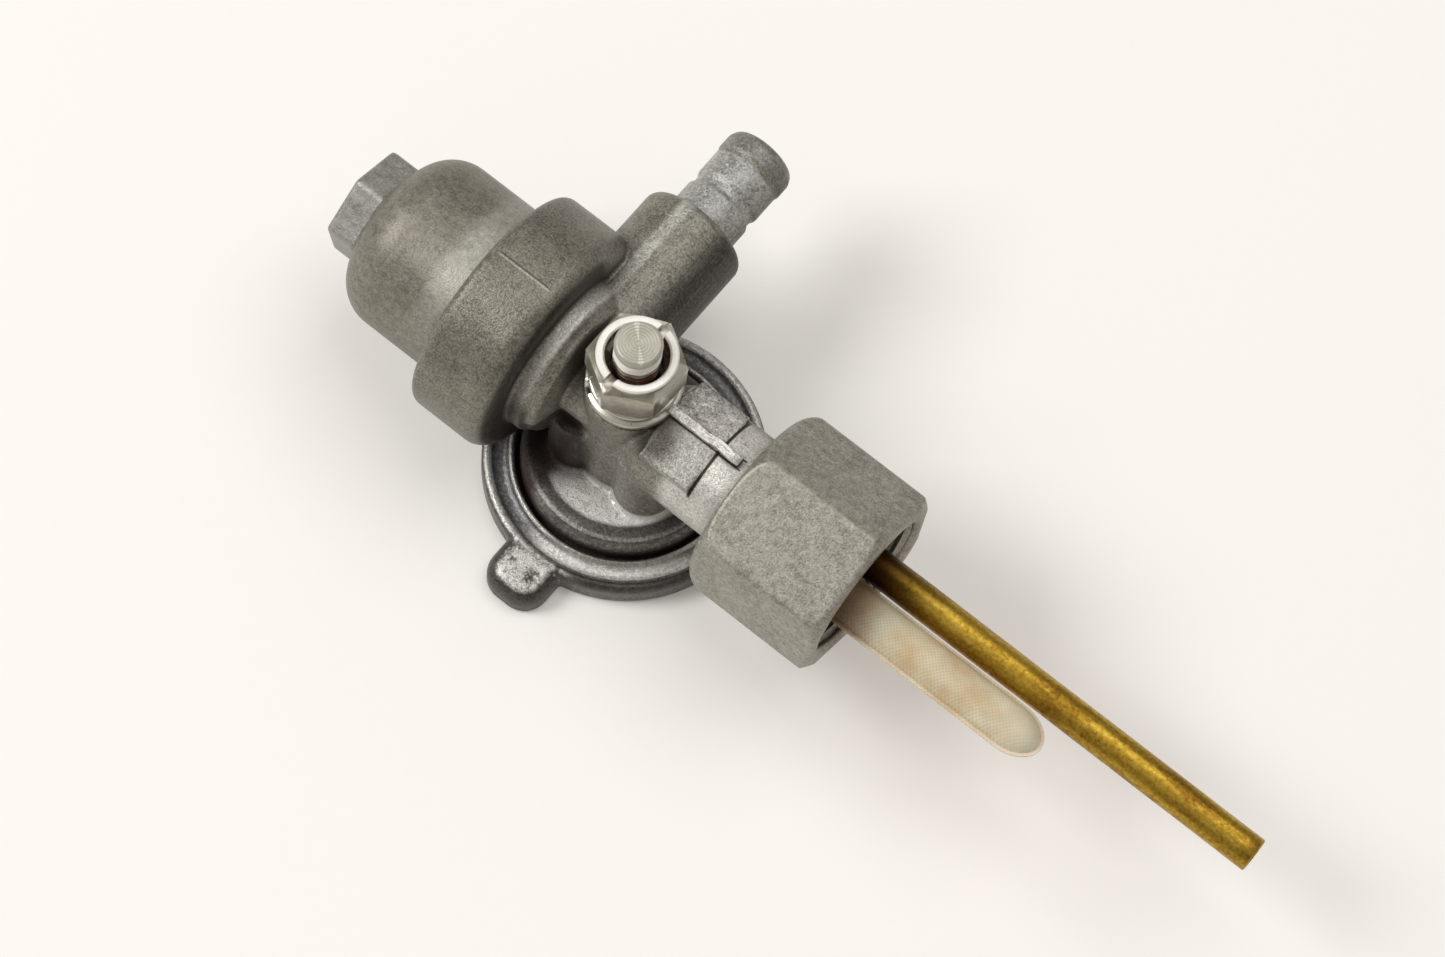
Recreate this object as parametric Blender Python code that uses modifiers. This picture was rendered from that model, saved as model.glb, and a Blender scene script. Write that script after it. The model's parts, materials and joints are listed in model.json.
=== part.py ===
"""Fuel tap of a small motorcycle, modelled in metres with +Z up.

The tap stands on its round lever disc.  The spindle is the Z axis, the inlet runs along +X to the
union nut and the standpipe, the sediment bowl points along -X and the hose outlet along +Y.
The origin is the middle of the lever disc's flat face.
"""
from math import cos
from math import pi
from math import radians
from math import sin
from math import sqrt
from math import tan

import bmesh
import bpy
from mathutils import Matrix
from mathutils import Vector

# Clearances
SEAT_GAP = 0.0003          # between faces that seat on each other
THREAD_GAP = 0.0003        # between a male and a female thread, both modelled plain

# Axes of the casting
COLLAR_CLEARANCE = 0.00065  # from the turning lever disc up to the collar
OUTLET_STATION = -0.0072   # outlet axis along X
PORT_CIRCLE = 0.0050       # radius on which the four valve ports lie
PIPE_SPREAD = 0.0049       # between the standpipe's axis and the strainer's

# Inlet neck
NECK_RADIUS = 0.00615
NECK_THREAD_RADIUS = 0.0077
NECK_THREAD_LENGTH = 0.0066
NECK_RELIEF = 0.0005
WAIST_RADIUS = 0.0046
WAIST_START = 0.0027
WAIST_TAPER = 0.0021

# Raised flats on top of the neck
FLAT_START = 0.0048
FLAT_LENGTH = 0.0063
FLAT_HALF_WIDTH = 0.0052
FLAT_SLOPE = radians(22)
RIDGE_WIDTH = 0.0009
RIDGE_HEIGHT = 0.0005
RIDGE_OVERRUN = 0.0026     # how far the ridge runs past the flats

# Collar and neck ring
COLLAR_RADIUS = 0.01315
COLLAR_BACK = -0.0094
COLLAR_LENGTH = 0.0093
COLLAR_FLOOR = 0.0018
COLLAR_ROUND = 0.0021
COLLAR_MOUTH_ROUND = 0.0010
RING_RADIUS = 0.0089
RING_TAPER = 0.0007
RING_LENGTH = 0.0032

# Sediment bowl
BOWL_RADIUS = 0.00995
BOWL_WALL = 0.0014
BOWL_SHOULDER = -0.0275
BOWL_DOME = 0.0048
BOWL_CROWN = 0.0050        # radius at which the dome's curve ends
BOWL_INNER_CROWN = 0.0024
BOWL_HEX_FLATS = 0.0108
BOWL_HEX_END = -0.0359
BOWL_HEX_TURN = radians(38)
BOWL_GASKET_THICKNESS = 0.0012
BOWL_GASKET_WIDTH = 0.0016

# Strainer inside the bowl
SCREEN_RADIUS = 0.0044
SCREEN_WALL = 0.0004
SCREEN_LENGTH = 0.0090
SCREEN_FLANGE = 0.0058
SCREEN_FLANGE_THICKNESS = 0.0010
SCREEN_RIBS = 4
SCREEN_RIB_WIDTH = 0.0010

# Hose outlet
BARREL_RADIUS = 0.0061
BARREL_END = 0.0196
BARREL_ROUND = 0.0010
NOZZLE_RADIUS = 0.0039
NOZZLE_END = 0.0307
NOZZLE_BORE = 0.0021
NOZZLE_GROOVE = 0.0003
NOZZLE_GROOVE_START = 0.0034    # from the barrel's end
NOZZLE_GROOVE_WIDTH = 0.0016
NOZZLE_BARB = 0.00015
NOZZLE_BARB_START = 0.0024      # from the nozzle's tip
NOZZLE_TIP_ROUND = 0.0006

# Spindle boss, valve plate and passages
BOSS_RADIUS = 0.0050
BOSS_RISE = 0.0054              # spot face above the inlet axis
SPOT_FACE_MARGIN = 0.0006       # round the spring washer
MACHINING_STOCK = 0.0005        # cast above the spot face and milled off
PLATE_CLEARANCE = 0.0007        # inside the lever disc's lip
PLATE_THICKNESS = 0.0031
PLATE_ROUND = 0.0016
PORT_RADIUS = 0.0013            # upright passages to the valve face
DRILLING_RADIUS = 0.0011        # level passages that meet them
OUTLET_DRILLING_RADIUS = 0.0017
DRILL_OVERRUN = 0.0004          # of a drilling past the axis that it meets
PASSAGE_WALL = 0.0020
INLET_COLUMN_DROP = 0.0005      # top of the inlet columns below the inlet axis
BOWL_PASSAGE_DROP = 0.0058      # below the inlet axis

# Valve gasket
GASKET_RADIUS = 0.0080
GASKET_THICKNESS = 0.0012
GASKET_RECESS = 0.0004          # how far it lies in the valve plate
GASKET_PORT_RADIUS = 0.0014

# Lever disc, heights above its flat face
DISC_RADIUS = 0.0151
DISH_FLOOR = 0.0015
DISC_RIM = 0.0034
DISC_LIP = 0.0037
DISC_BAND = 0.0031
DISC_EDGE_ROUND = 0.0009
DISC_FOOT_ROUND = 0.00045
DISC_SHOULDER = 0.0012          # from the band out to the rim
DISC_BAND_WIDTH = 0.0009
LIP_WIDTH = 0.0012
LIP_CHAMFER = 0.00025
DISH_ROUND = 0.00045
HUB_RADIUS = 0.0034
LEVER_LENGTH = 0.0048           # beyond the disc's rim
LEVER_HALF_WIDTH = 0.00355
LEVER_HEIGHT = 0.0035
LEVER_CORNER = 0.0027
LEVER_EDGE = 0.0011
ROTOR_GROOVE_DEPTH = 0.0006
ROTOR_GROOVE_SPAN = radians(168)

# Spindle and its fasteners
SPINDLE_RADIUS = 0.0025
SPINDLE_PROUD = 0.0028          # above its nut
SPINDLE_FOOT = 0.0006           # floor left below the spindle in the hub
SPINDLE_CHAMFER = 0.0004
SEAL_SECTION = 0.0005
SEAL_DEPTH = 0.0045             # below the top of the boss
SPRING_WASHER_RADIUS = 0.0050
SPRING_WASHER_THICKNESS = 0.0009
SPRING_WASHER_RISE = 0.0004
SPRING_WASHER_SPLIT = radians(225)
SPRING_WASHER_SWEEP = radians(348)
FLAT_WASHER_RADIUS = 0.0047
FLAT_WASHER_THICKNESS = 0.0006
NUT_FLATS = 0.0090
NUT_HEX_HEIGHT = 0.0047
NUT_RING_HEIGHT = 0.0008
NUT_RING_RADIUS = 0.0042
NUT_RECESS_RADIUS = 0.0034
NUT_RECESS_DEPTH = 0.0016
NUT_SLOT_WIDTH = 0.0010
NUT_SLOT_DEPTH = 0.0010
NUT_CHAMFER = radians(30)
NUT_TURN = radians(28)
NUT_SLOT_TURN = radians(85)

# Union nut
UNION_FLATS = 0.0190
UNION_START = 0.0150
UNION_LENGTH = 0.0158
UNION_CROWN = 0.0025            # length of the rounding at the back
UNION_BACK_LAND = 0.0004        # flat left between that rounding and the bore
UNION_FRONT_CHAMFER = 0.0009    # length of the chamfer on the corners
UNION_FRONT_MARGIN = 0.0003     # of the chamfer's small end over the flats
UNION_MOUTH = 0.0004            # countersink at the mouth
UNION_TURN = radians(27)
UNION_GASKET_THICKNESS = 0.0014
UNION_GASKET_WIDTH = 0.0018

# Standpipe and inlet strainer
PIPE_RADIUS = 0.001875
PIPE_WALL = 0.00045
PIPE_END = 0.0776
PIPE_SOCKET = 0.0062
STRAINER_HALF_WIDTH = 0.00235
STRAINER_HALF_HEIGHT = 0.0019
STRAINER_WALL = 0.0003
STRAINER_SETBACK = 0.0010       # from the neck's end to the sleeve
STRAINER_TIP = 0.0542
STRAINER_TIP_LENGTH = 0.0036
STRAINER_SEAM = 0.00035
STRAINER_SEAM_THICKNESS = 0.0006
FERRULE_RADIUS = 0.0019
FERRULE_WALL = 0.0004
FERRULE_SOCKET = 0.0052
FERRULE_SPIGOT = 0.0040         # length inside the sleeve

# How finely round shapes are divided
FINE_STEPS = 44
MIDDLE_STEPS = 32
SMALL_STEPS = 24
DRILL_STEPS = 14
WASHER_STEPS = 36
GROOVE_STEPS = 20
SEAM_STEPS = 10
CROWN_STEPS = 7
ARC_STEPS = 4

WELD = 0.00001                  # points nearer than this are one point
CUT_THROUGH = 0.0600            # length of a cutter that passes right through

# Lines that several pieces share
PIPE_Y = PIPE_SPREAD / 2
STRAINER_Y = -PIPE_SPREAD / 2
PORT_X = sqrt(PORT_CIRCLE ** 2 - PIPE_Y ** 2)
INLET_HEIGHT = DISC_LIP + COLLAR_CLEARANCE + COLLAR_RADIUS
BOSS_TOP = INLET_HEIGHT + BOSS_RISE
NECK_THREAD_START = UNION_START
NECK_END = NECK_THREAD_START + NECK_THREAD_LENGTH
STRAINER_START = NECK_END + STRAINER_SETBACK
COLLAR_FRONT = COLLAR_BACK - COLLAR_LENGTH
COLLAR_SEAT = COLLAR_BACK - COLLAR_FLOOR
COLLAR_BORE = BOWL_RADIUS + THREAD_GAP
BOWL_RIM = COLLAR_SEAT - BOWL_GASKET_THICKNESS - 2 * SEAT_GAP
LIP_RADIUS = DISC_RADIUS - DISC_SHOULDER - DISC_BAND_WIDTH
PLATE_RADIUS = LIP_RADIUS - LIP_WIDTH - PLATE_CLEARANCE
LEVER_REACH = DISC_RADIUS + LEVER_LENGTH
GASKET_BOTTOM = DISH_FLOOR + SEAT_GAP
GASKET_TOP = GASKET_BOTTOM + GASKET_THICKNESS
PLATE_BOTTOM = GASKET_TOP - GASKET_RECESS
PLATE_TOP = PLATE_BOTTOM + PLATE_THICKNESS
PLATE_MIDDLE = PLATE_BOTTOM + PLATE_THICKNESS / 2
GASKET_ROOF = GASKET_TOP + SEAT_GAP
GASKET_HOLE = HUB_RADIUS + SEAT_GAP
SPINDLE_BORE = SPINDLE_RADIUS + SEAT_GAP
BOWL_PASSAGE_HEIGHT = INLET_HEIGHT - BOWL_PASSAGE_DROP
UNION_END = UNION_START + UNION_LENGTH
UNION_BORE = NECK_THREAD_RADIUS + THREAD_GAP
SPRING_WASHER_BOTTOM = BOSS_TOP + SEAT_GAP
FLAT_WASHER_BOTTOM = SPRING_WASHER_BOTTOM + SPRING_WASHER_THICKNESS + SPRING_WASHER_RISE + SEAT_GAP
NUT_BOTTOM = FLAT_WASHER_BOTTOM + FLAT_WASHER_THICKNESS + SEAT_GAP
NUT_TOP = NUT_BOTTOM + NUT_HEX_HEIGHT + NUT_RING_HEIGHT
SPINDLE_TOP = NUT_TOP + SPINDLE_PROUD

# Directions in which a turned piece's own Z axis can point
ALONG_X = Matrix.Rotation(pi / 2, 4, "Y")
ALONG_Y = Matrix.Rotation(-pi / 2, 4, "X")
ALONG_Z = Matrix.Identity(4)

INLET_AXIS = Vector((0, 0, INLET_HEIGHT))


def clear_scene():
    """Removes whatever the scene holds."""
    for item in list(bpy.data.objects):
        bpy.data.objects.remove(item, do_unlink=True)


def make_collection(name):
    """Adds a collection to the scene."""
    collection = bpy.data.collections.new(name)
    bpy.context.scene.collection.children.link(collection)
    return collection


def make_material(name, colour, roughness, metallic):
    """A plain material in the piece's own colour."""
    material = bpy.data.materials.new(name)
    material.use_nodes = True
    shader = material.node_tree.nodes["Principled BSDF"]
    shader.inputs["Base Color"].default_value = (*colour, 1)
    shader.inputs["Roughness"].default_value = roughness
    shader.inputs["Metallic"].default_value = metallic
    material.diffuse_color = (*colour, 1)
    return material


def add_object(name, mesh, collection, origin=(0, 0, 0), turn=ALONG_Z):
    """Links a mesh as an object standing at the given origin."""
    item = bpy.data.objects.new(name, mesh)
    collection.objects.link(item)
    item.matrix_world = Matrix.Translation(origin) @ turn
    return item


def as_tool(item):
    """Hides an object that only cuts or joins."""
    item.hide_render = True
    item.display_type = "WIRE"
    return item


def boolean(target, tool, operation):
    """Combines a piece with a tool object."""
    modifier = target.modifiers.new(tool.name, "BOOLEAN")
    modifier.object = tool
    modifier.operation = operation
    modifier.solver = "EXACT"


def cut(target, *tools):
    """Takes the tools' volume out of a piece."""
    for tool in tools:
        boolean(target, as_tool(tool), "DIFFERENCE")


def join(target, *tools):
    """Adds the tools' volume to a piece."""
    for tool in tools:
        boolean(target, as_tool(tool), "UNION")


def keep_inside(target, tool):
    """Keeps only what lies inside the tool."""
    boolean(target, as_tool(tool), "INTERSECT")


def arc(middle_radius, middle_station, size, start, end, stretch=1.0, count=ARC_STEPS):
    """Points of a rounded corner in a turned profile, angles in degrees from straight outward."""
    points = []
    for index in range(count + 1):
        angle = radians(start + (end - start) * index / count)
        points.append((middle_radius + size * cos(angle), middle_station + size * stretch * sin(angle)))
    return points


def turned(name, profile, collection, origin=(0, 0, 0), turn=ALONG_Z, steps=FINE_STEPS, closed=False):
    """Turns a profile of (radius, station) points, which run down the outer side."""
    mesh = bpy.data.meshes.new(name)
    count = len(profile)
    edges = [(index, index + 1) for index in range(count - 1)]
    if closed:
        edges.append((count - 1, 0))
    side = (cos(pi / steps), sin(pi / steps))
    points = [(radius * side[0], radius * side[1], station) for radius, station in profile]
    mesh.from_pydata(points, edges, [])
    item = add_object(name, mesh, collection, origin, turn)
    screw = item.modifiers.new("Turned", "SCREW")
    screw.steps = steps
    screw.render_steps = steps
    screw.use_merge_vertices = True
    screw.merge_threshold = WELD
    screw.use_smooth_shade = False
    return item


def from_bmesh(name, shape, collection, origin=(0, 0, 0), turn=ALONG_Z):
    """Makes an object of a bmesh and frees it."""
    bmesh.ops.recalc_face_normals(shape, faces=shape.faces)
    mesh = bpy.data.meshes.new(name)
    shape.to_mesh(mesh)
    shape.free()
    return add_object(name, mesh, collection, origin, turn)


def rod(name, radius, start, end, collection, steps=SMALL_STEPS):
    """A cylinder between two points."""
    start = Vector(start)
    end = Vector(end)
    shape = bmesh.new()
    bmesh.ops.create_cone(shape, cap_ends=True, segments=steps, radius1=radius, radius2=radius,
                          depth=(end - start).length, matrix=Matrix.Rotation(pi / steps / 2, 4, "Z"))
    turn = (end - start).to_track_quat("Z", "Y").to_matrix().to_4x4()
    return from_bmesh(name, shape, collection, (start + end) / 2, turn)


def block(name, size, middle, collection, turn=ALONG_Z):
    """A box of the given size about its middle."""
    shape = bmesh.new()
    bmesh.ops.create_cube(shape, size=1)
    bmesh.ops.scale(shape, vec=size, verts=shape.verts)
    return from_bmesh(name, shape, collection, middle, turn)


def hexagon(name, flats, bottom, top, angle, collection, origin=(0, 0, 0), turn=ALONG_Z):
    """A six-sided prism along its own Z, one corner at the given angle from its own Y."""
    shape = bmesh.new()
    radius = flats / 2 / cos(pi / 6)
    bmesh.ops.create_cone(shape, cap_ends=True, segments=6, radius1=radius, radius2=radius,
                          depth=top - bottom)
    lift = Matrix.Translation((0, 0, (top + bottom) / 2)) @ Matrix.Rotation(angle, 4, "Z")
    bmesh.ops.transform(shape, matrix=lift, verts=shape.verts)
    return from_bmesh(name, shape, collection, origin, turn)


def swept_section(name, inner, outer, bottom, top, start, sweep, rise, steps, collection):
    """A square section swept about Z through an angle, with a steady rise."""
    shape = bmesh.new()
    corners = [(inner, bottom), (outer, bottom), (outer, top), (inner, top)]
    verts = [shape.verts.new((radius * cos(start), radius * sin(start), z)) for radius, z in corners]
    face = shape.faces.new(verts)
    section = [face] + list(face.edges) + list(face.verts)
    bmesh.ops.spin(shape, geom=section, cent=(0, 0, 0), axis=(0, 0, 1), dvec=(0, 0, rise / steps),
                   angle=sweep, steps=steps, use_duplicate=False)
    return from_bmesh(name, shape, collection)


def extruded_outline(name, outline, start, length, collection, origin=(0, 0, 0)):
    """An outline in Y and Z drawn out along X."""
    shape = bmesh.new()
    verts = [shape.verts.new((start, y, z)) for y, z in outline]
    face = shape.faces.new(verts)
    drawn = bmesh.ops.extrude_face_region(shape, geom=[face])
    moved = [part for part in drawn["geom"] if isinstance(part, bmesh.types.BMVert)]
    bmesh.ops.translate(shape, verts=moved, vec=(length, 0, 0))
    return from_bmesh(name, shape, collection, origin)


def casting_barrel(parts):
    """Neck, waist, neck ring and collar, turned about the inlet axis."""
    ring_end = COLLAR_BACK + RING_LENGTH
    ring_round = RING_TAPER
    profile = [(0, NECK_END)]
    profile += [(NECK_THREAD_RADIUS - NECK_RELIEF, NECK_END)]
    profile += [(NECK_THREAD_RADIUS, NECK_END - NECK_RELIEF)]
    profile += [(NECK_THREAD_RADIUS, NECK_THREAD_START + NECK_RELIEF)]
    profile += [(NECK_RADIUS, NECK_THREAD_START)]
    profile += [(NECK_RADIUS, WAIST_START + WAIST_TAPER)]
    profile += [(WAIST_RADIUS, WAIST_START)]
    profile += [(WAIST_RADIUS, ring_end + ring_round)]
    profile += arc(RING_RADIUS - 2 * RING_TAPER, ring_end - ring_round, ring_round, 90, 0, count=2)
    profile += arc(RING_RADIUS - RING_TAPER, COLLAR_BACK + 2 * ring_round, ring_round, 60, 0, count=2)
    profile += [(RING_RADIUS, COLLAR_BACK)]
    profile += arc(COLLAR_RADIUS - COLLAR_ROUND, COLLAR_BACK - COLLAR_ROUND, COLLAR_ROUND, 90, 0)
    profile += arc(COLLAR_RADIUS - COLLAR_MOUTH_ROUND, COLLAR_FRONT + COLLAR_MOUTH_ROUND,
                   COLLAR_MOUTH_ROUND, 0, -90)
    profile += [(0, COLLAR_FRONT)]
    return turned("tap_body", profile, parts, INLET_AXIS, ALONG_X)


def outlet_barrel(tools):
    """Barrel and hose nozzle, turned about the outlet axis."""
    groove_start = BARREL_END + NOZZLE_GROOVE_START
    groove_end = groove_start + NOZZLE_GROOVE_WIDTH
    barb_start = NOZZLE_END - NOZZLE_BARB_START
    tip_start = NOZZLE_END - NOZZLE_TIP_ROUND
    tip_radius = NOZZLE_RADIUS - NOZZLE_TIP_ROUND
    profile = [(0, NOZZLE_END)]
    profile += arc(tip_radius, tip_start, NOZZLE_TIP_ROUND, 90, 0, count=3)
    profile += [(NOZZLE_RADIUS + NOZZLE_BARB, tip_start - NOZZLE_BARB)]
    profile += [(NOZZLE_RADIUS + NOZZLE_BARB, barb_start)]
    profile += [(NOZZLE_RADIUS, barb_start - NOZZLE_BARB)]
    profile += [(NOZZLE_RADIUS, groove_end)]
    profile += [(NOZZLE_RADIUS - NOZZLE_GROOVE, groove_end - NOZZLE_GROOVE)]
    profile += [(NOZZLE_RADIUS - NOZZLE_GROOVE, groove_start + NOZZLE_GROOVE)]
    profile += [(NOZZLE_RADIUS, groove_start)]
    profile += [(NOZZLE_RADIUS, BARREL_END)]
    profile += arc(BARREL_RADIUS - BARREL_ROUND, BARREL_END - BARREL_ROUND, BARREL_ROUND, 90, 0)
    profile += [(BARREL_RADIUS, 0)]
    profile += [(0, 0)]
    origin = (OUTLET_STATION, 0, INLET_HEIGHT)
    return turned("Outlet barrel", profile, tools, origin, ALONG_Y, steps=MIDDLE_STEPS)


def valve_plate(tools):
    """Round plate whose underside is the valve face."""
    profile = [(0, PLATE_TOP)]
    profile += arc(PLATE_RADIUS - PLATE_ROUND, PLATE_TOP - PLATE_ROUND, PLATE_ROUND, 90, 0)
    profile += [(PLATE_RADIUS, PLATE_BOTTOM)]
    profile += [(0, PLATE_BOTTOM)]
    return turned("Valve plate", profile, tools)


def neck_flats(tools):
    """Two raised flats that slope away from the top of the neck like a roof."""
    crown = NECK_RADIUS / cos(FLAT_SLOPE)
    eaves = crown - FLAT_HALF_WIDTH * tan(FLAT_SLOPE)
    outline = [(0, crown), (FLAT_HALF_WIDTH, eaves), (FLAT_HALF_WIDTH, 0), (-FLAT_HALF_WIDTH, 0)]
    outline += [(-FLAT_HALF_WIDTH, eaves)]
    return extruded_outline("Neck flats", outline, FLAT_START, FLAT_LENGTH, tools, INLET_AXIS)


def neck_ridge(tools):
    """Raised line where the two halves of the mould met, along the top of the neck."""
    top = NECK_RADIUS / cos(FLAT_SLOPE) + RIDGE_HEIGHT
    length = FLAT_LENGTH + RIDGE_OVERRUN
    middle = (FLAT_START + length / 2, 0, INLET_HEIGHT + top - NECK_RADIUS / 2)
    return block("Ridge", (length, RIDGE_WIDTH, NECK_RADIUS), middle, tools)


def passage_columns(tools):
    """Four round columns that carry the passages down to the valve plate."""
    columns = []
    radius = PORT_RADIUS + PASSAGE_WALL
    tops = {PORT_X: INLET_HEIGHT - INLET_COLUMN_DROP, -PORT_X: BOWL_PASSAGE_HEIGHT + radius}
    for x, top in tops.items():
        for y in (PIPE_Y, STRAINER_Y):
            start = (x, y, PLATE_MIDDLE)
            columns.append(rod("Column", radius, start, (x, y, top), tools))
    return columns


def passages(tools):
    """Drillings that join the inlet, the valve ports, the bowl and the outlet."""
    drills = []
    below = PLATE_BOTTOM - SEAT_GAP
    neck_face = NECK_END + SEAT_GAP
    bowl_face = COLLAR_SEAT - SEAT_GAP
    runs = [(PORT_X, neck_face, INLET_HEIGHT, PORT_X - DRILL_OVERRUN)]
    runs += [(-PORT_X, bowl_face, BOWL_PASSAGE_HEIGHT, -PORT_X + DRILL_OVERRUN)]
    for x, face, height, end in runs:
        for y in (PIPE_Y, STRAINER_Y):
            drills.append(rod("Port", PORT_RADIUS, (x, y, below), (x, y, height + DRILL_OVERRUN), tools,
                              steps=DRILL_STEPS))
            drills.append(rod("Drilling", DRILLING_RADIUS, (face, y, height), (end, y, height), tools,
                              steps=DRILL_STEPS))
    bore_start = (OUTLET_STATION, -DRILL_OVERRUN, INLET_HEIGHT)
    tip = (OUTLET_STATION, NOZZLE_END + SEAT_GAP, INLET_HEIGHT)
    drills.append(rod("Outlet bore", NOZZLE_BORE, bore_start, tip, tools))
    seat = (bowl_face, 0, INLET_HEIGHT)
    end = (OUTLET_STATION + DRILL_OVERRUN, 0, INLET_HEIGHT)
    drills.append(rod("Outlet drilling", OUTLET_DRILLING_RADIUS, seat, end, tools, steps=DRILL_STEPS))
    return drills


def body_sockets(tools):
    """Recesses in the casting for the pieces that fit into it."""
    neck_face = NECK_END + SEAT_GAP
    collar = rod("Collar socket", COLLAR_BORE, (COLLAR_FRONT - SEAT_GAP, 0, INLET_HEIGHT),
                 (COLLAR_SEAT, 0, INLET_HEIGHT), tools, steps=FINE_STEPS)
    pipe = rod("Pipe socket", PIPE_RADIUS + SEAT_GAP, (NECK_END - PIPE_SOCKET, PIPE_Y, INLET_HEIGHT),
               (neck_face, PIPE_Y, INLET_HEIGHT), tools)
    ferrule = rod("Ferrule socket", FERRULE_RADIUS + SEAT_GAP,
                  (NECK_END - FERRULE_SOCKET, STRAINER_Y, INLET_HEIGHT),
                  (neck_face, STRAINER_Y, INLET_HEIGHT), tools)
    gasket = rod("Gasket recess", GASKET_RADIUS + SEAT_GAP, (0, 0, GASKET_BOTTOM), (0, 0, GASKET_ROOF),
                 tools, steps=FINE_STEPS)
    spindle = rod("Spindle bore", SPINDLE_BORE, (0, 0, GASKET_BOTTOM), (0, 0, BOSS_TOP + SEAT_GAP), tools)
    groove_middle = BOSS_TOP - SEAL_DEPTH
    groove = rod("Seal groove", SPINDLE_BORE + 2 * SEAL_SECTION + SEAT_GAP,
                 (0, 0, groove_middle - SEAL_SECTION - SEAT_GAP),
                 (0, 0, groove_middle + SEAL_SECTION + SEAT_GAP), tools)
    return [collar, pipe, ferrule, gasket, spindle, groove]


def tap_body(parts, tools, material):
    """Die-cast body with all that is drilled into it."""
    body = casting_barrel(parts)
    boss_start = (0, 0, PLATE_MIDDLE)
    boss_end = (0, 0, BOSS_TOP + MACHINING_STOCK)
    boss = rod("Spindle boss", BOSS_RADIUS, boss_start, boss_end, tools, steps=MIDDLE_STEPS)
    join(body, outlet_barrel(tools), neck_flats(tools), boss, valve_plate(tools))
    join(body, *passage_columns(tools))
    spot_radius = SPRING_WASHER_RADIUS + SPOT_FACE_MARGIN
    spot_face = rod("Spot face", spot_radius, (0, 0, BOSS_TOP), (0, 0, SPINDLE_TOP), tools,
                    steps=MIDDLE_STEPS)
    join(body, neck_ridge(tools))
    cut(body, spot_face)
    cut(body, *body_sockets(tools))
    cut(body, *passages(tools))
    body.data.materials.append(material)
    return body


def sediment_bowl(parts, tools, material):
    """Cup that screws into the collar, with a small hexagon on its end."""
    crown_stretch = BOWL_DOME / (BOWL_RADIUS - BOWL_CROWN)
    inner = BOWL_RADIUS - BOWL_WALL
    inner_stretch = (BOWL_DOME - BOWL_WALL) / (inner - BOWL_INNER_CROWN)
    dome_end = BOWL_SHOULDER - BOWL_DOME
    profile = [(0, dome_end + BOWL_WALL)]
    profile += arc(BOWL_INNER_CROWN, BOWL_SHOULDER, inner - BOWL_INNER_CROWN, -90, 0, inner_stretch)
    profile += [(inner, BOWL_RIM)]
    profile += [(BOWL_RADIUS, BOWL_RIM)]
    profile += arc(BOWL_CROWN, BOWL_SHOULDER, BOWL_RADIUS - BOWL_CROWN, 0, -90, crown_stretch,
                   CROWN_STEPS)
    profile += [(0, dome_end)]
    bowl = turned("sediment_bowl", profile, parts, INLET_AXIS, ALONG_X)
    head = hexagon("Bowl hexagon", BOWL_HEX_FLATS, BOWL_HEX_END, dome_end + BOWL_WALL / 2, BOWL_HEX_TURN,
                   tools, INLET_AXIS, ALONG_X)
    join(bowl, head)
    bowl.data.materials.append(material)
    return bowl


def bowl_gasket(parts, material):
    """Sealing ring between the bowl's rim and the collar."""
    top = COLLAR_SEAT - SEAT_GAP
    bottom = top - BOWL_GASKET_THICKNESS
    inner = BOWL_RADIUS - BOWL_GASKET_WIDTH
    profile = [(inner, top), (BOWL_RADIUS, top), (BOWL_RADIUS, bottom), (inner, bottom)]
    gasket = turned("bowl_gasket", profile, parts, INLET_AXIS, ALONG_X, closed=True)
    gasket.data.materials.append(material)
    return gasket


def bowl_screen_frame(parts, tools, material):
    """Moulded cage that stands on the collar's floor and carries the gauze."""
    cage = SCREEN_RADIUS - SCREEN_WALL - SEAT_GAP
    bore = cage - SCREEN_RIB_WIDTH
    top = COLLAR_SEAT - SEAT_GAP
    flange_end = top - SCREEN_FLANGE_THICKNESS
    cap_end = flange_end - SCREEN_LENGTH
    profile = [(0, top)]
    profile += [(SCREEN_FLANGE, top)]
    profile += [(SCREEN_FLANGE, flange_end)]
    profile += [(cage, flange_end)]
    profile += [(cage, cap_end)]
    profile += [(SCREEN_RADIUS, cap_end)]
    profile += [(SCREEN_RADIUS, cap_end - SCREEN_FLANGE_THICKNESS)]
    profile += [(0, cap_end - SCREEN_FLANGE_THICKNESS)]
    frame = turned("bowl_screen_frame", profile, parts, INLET_AXIS, ALONG_X, steps=SMALL_STEPS)
    centre = (flange_end + cap_end) / 2
    hollow = rod("Cage bore", bore, (top + SEAT_GAP, 0, INLET_HEIGHT), (cap_end, 0, INLET_HEIGHT), tools)
    cut(frame, hollow)
    window_length = SCREEN_LENGTH - 2 * SCREEN_RIB_WIDTH
    for index in range(SCREEN_RIBS // 2):
        angle = (index + 0.5) * 2 * pi / SCREEN_RIBS
        width = 2 * bore * cos(pi / SCREEN_RIBS) - SCREEN_RIB_WIDTH
        window = block("Cage window", (window_length, 2 * SCREEN_RADIUS, width), (centre, 0, INLET_HEIGHT),
                       tools, Matrix.Rotation(angle, 4, "X"))
        cut(frame, window)
    frame.data.materials.append(material)
    return frame


def bowl_screen_gauze(parts, material):
    """Gauze sleeve round the cage."""
    top = COLLAR_SEAT - SCREEN_FLANGE_THICKNESS - 2 * SEAT_GAP
    bottom = top - SCREEN_LENGTH + 2 * SEAT_GAP
    inner = SCREEN_RADIUS - SCREEN_WALL
    profile = [(inner, top), (SCREEN_RADIUS, top), (SCREEN_RADIUS, bottom), (inner, bottom)]
    gauze = turned("bowl_screen_gauze", profile, parts, INLET_AXIS, ALONG_X, steps=SMALL_STEPS, closed=True)
    gauze.data.materials.append(material)
    return gauze


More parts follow.
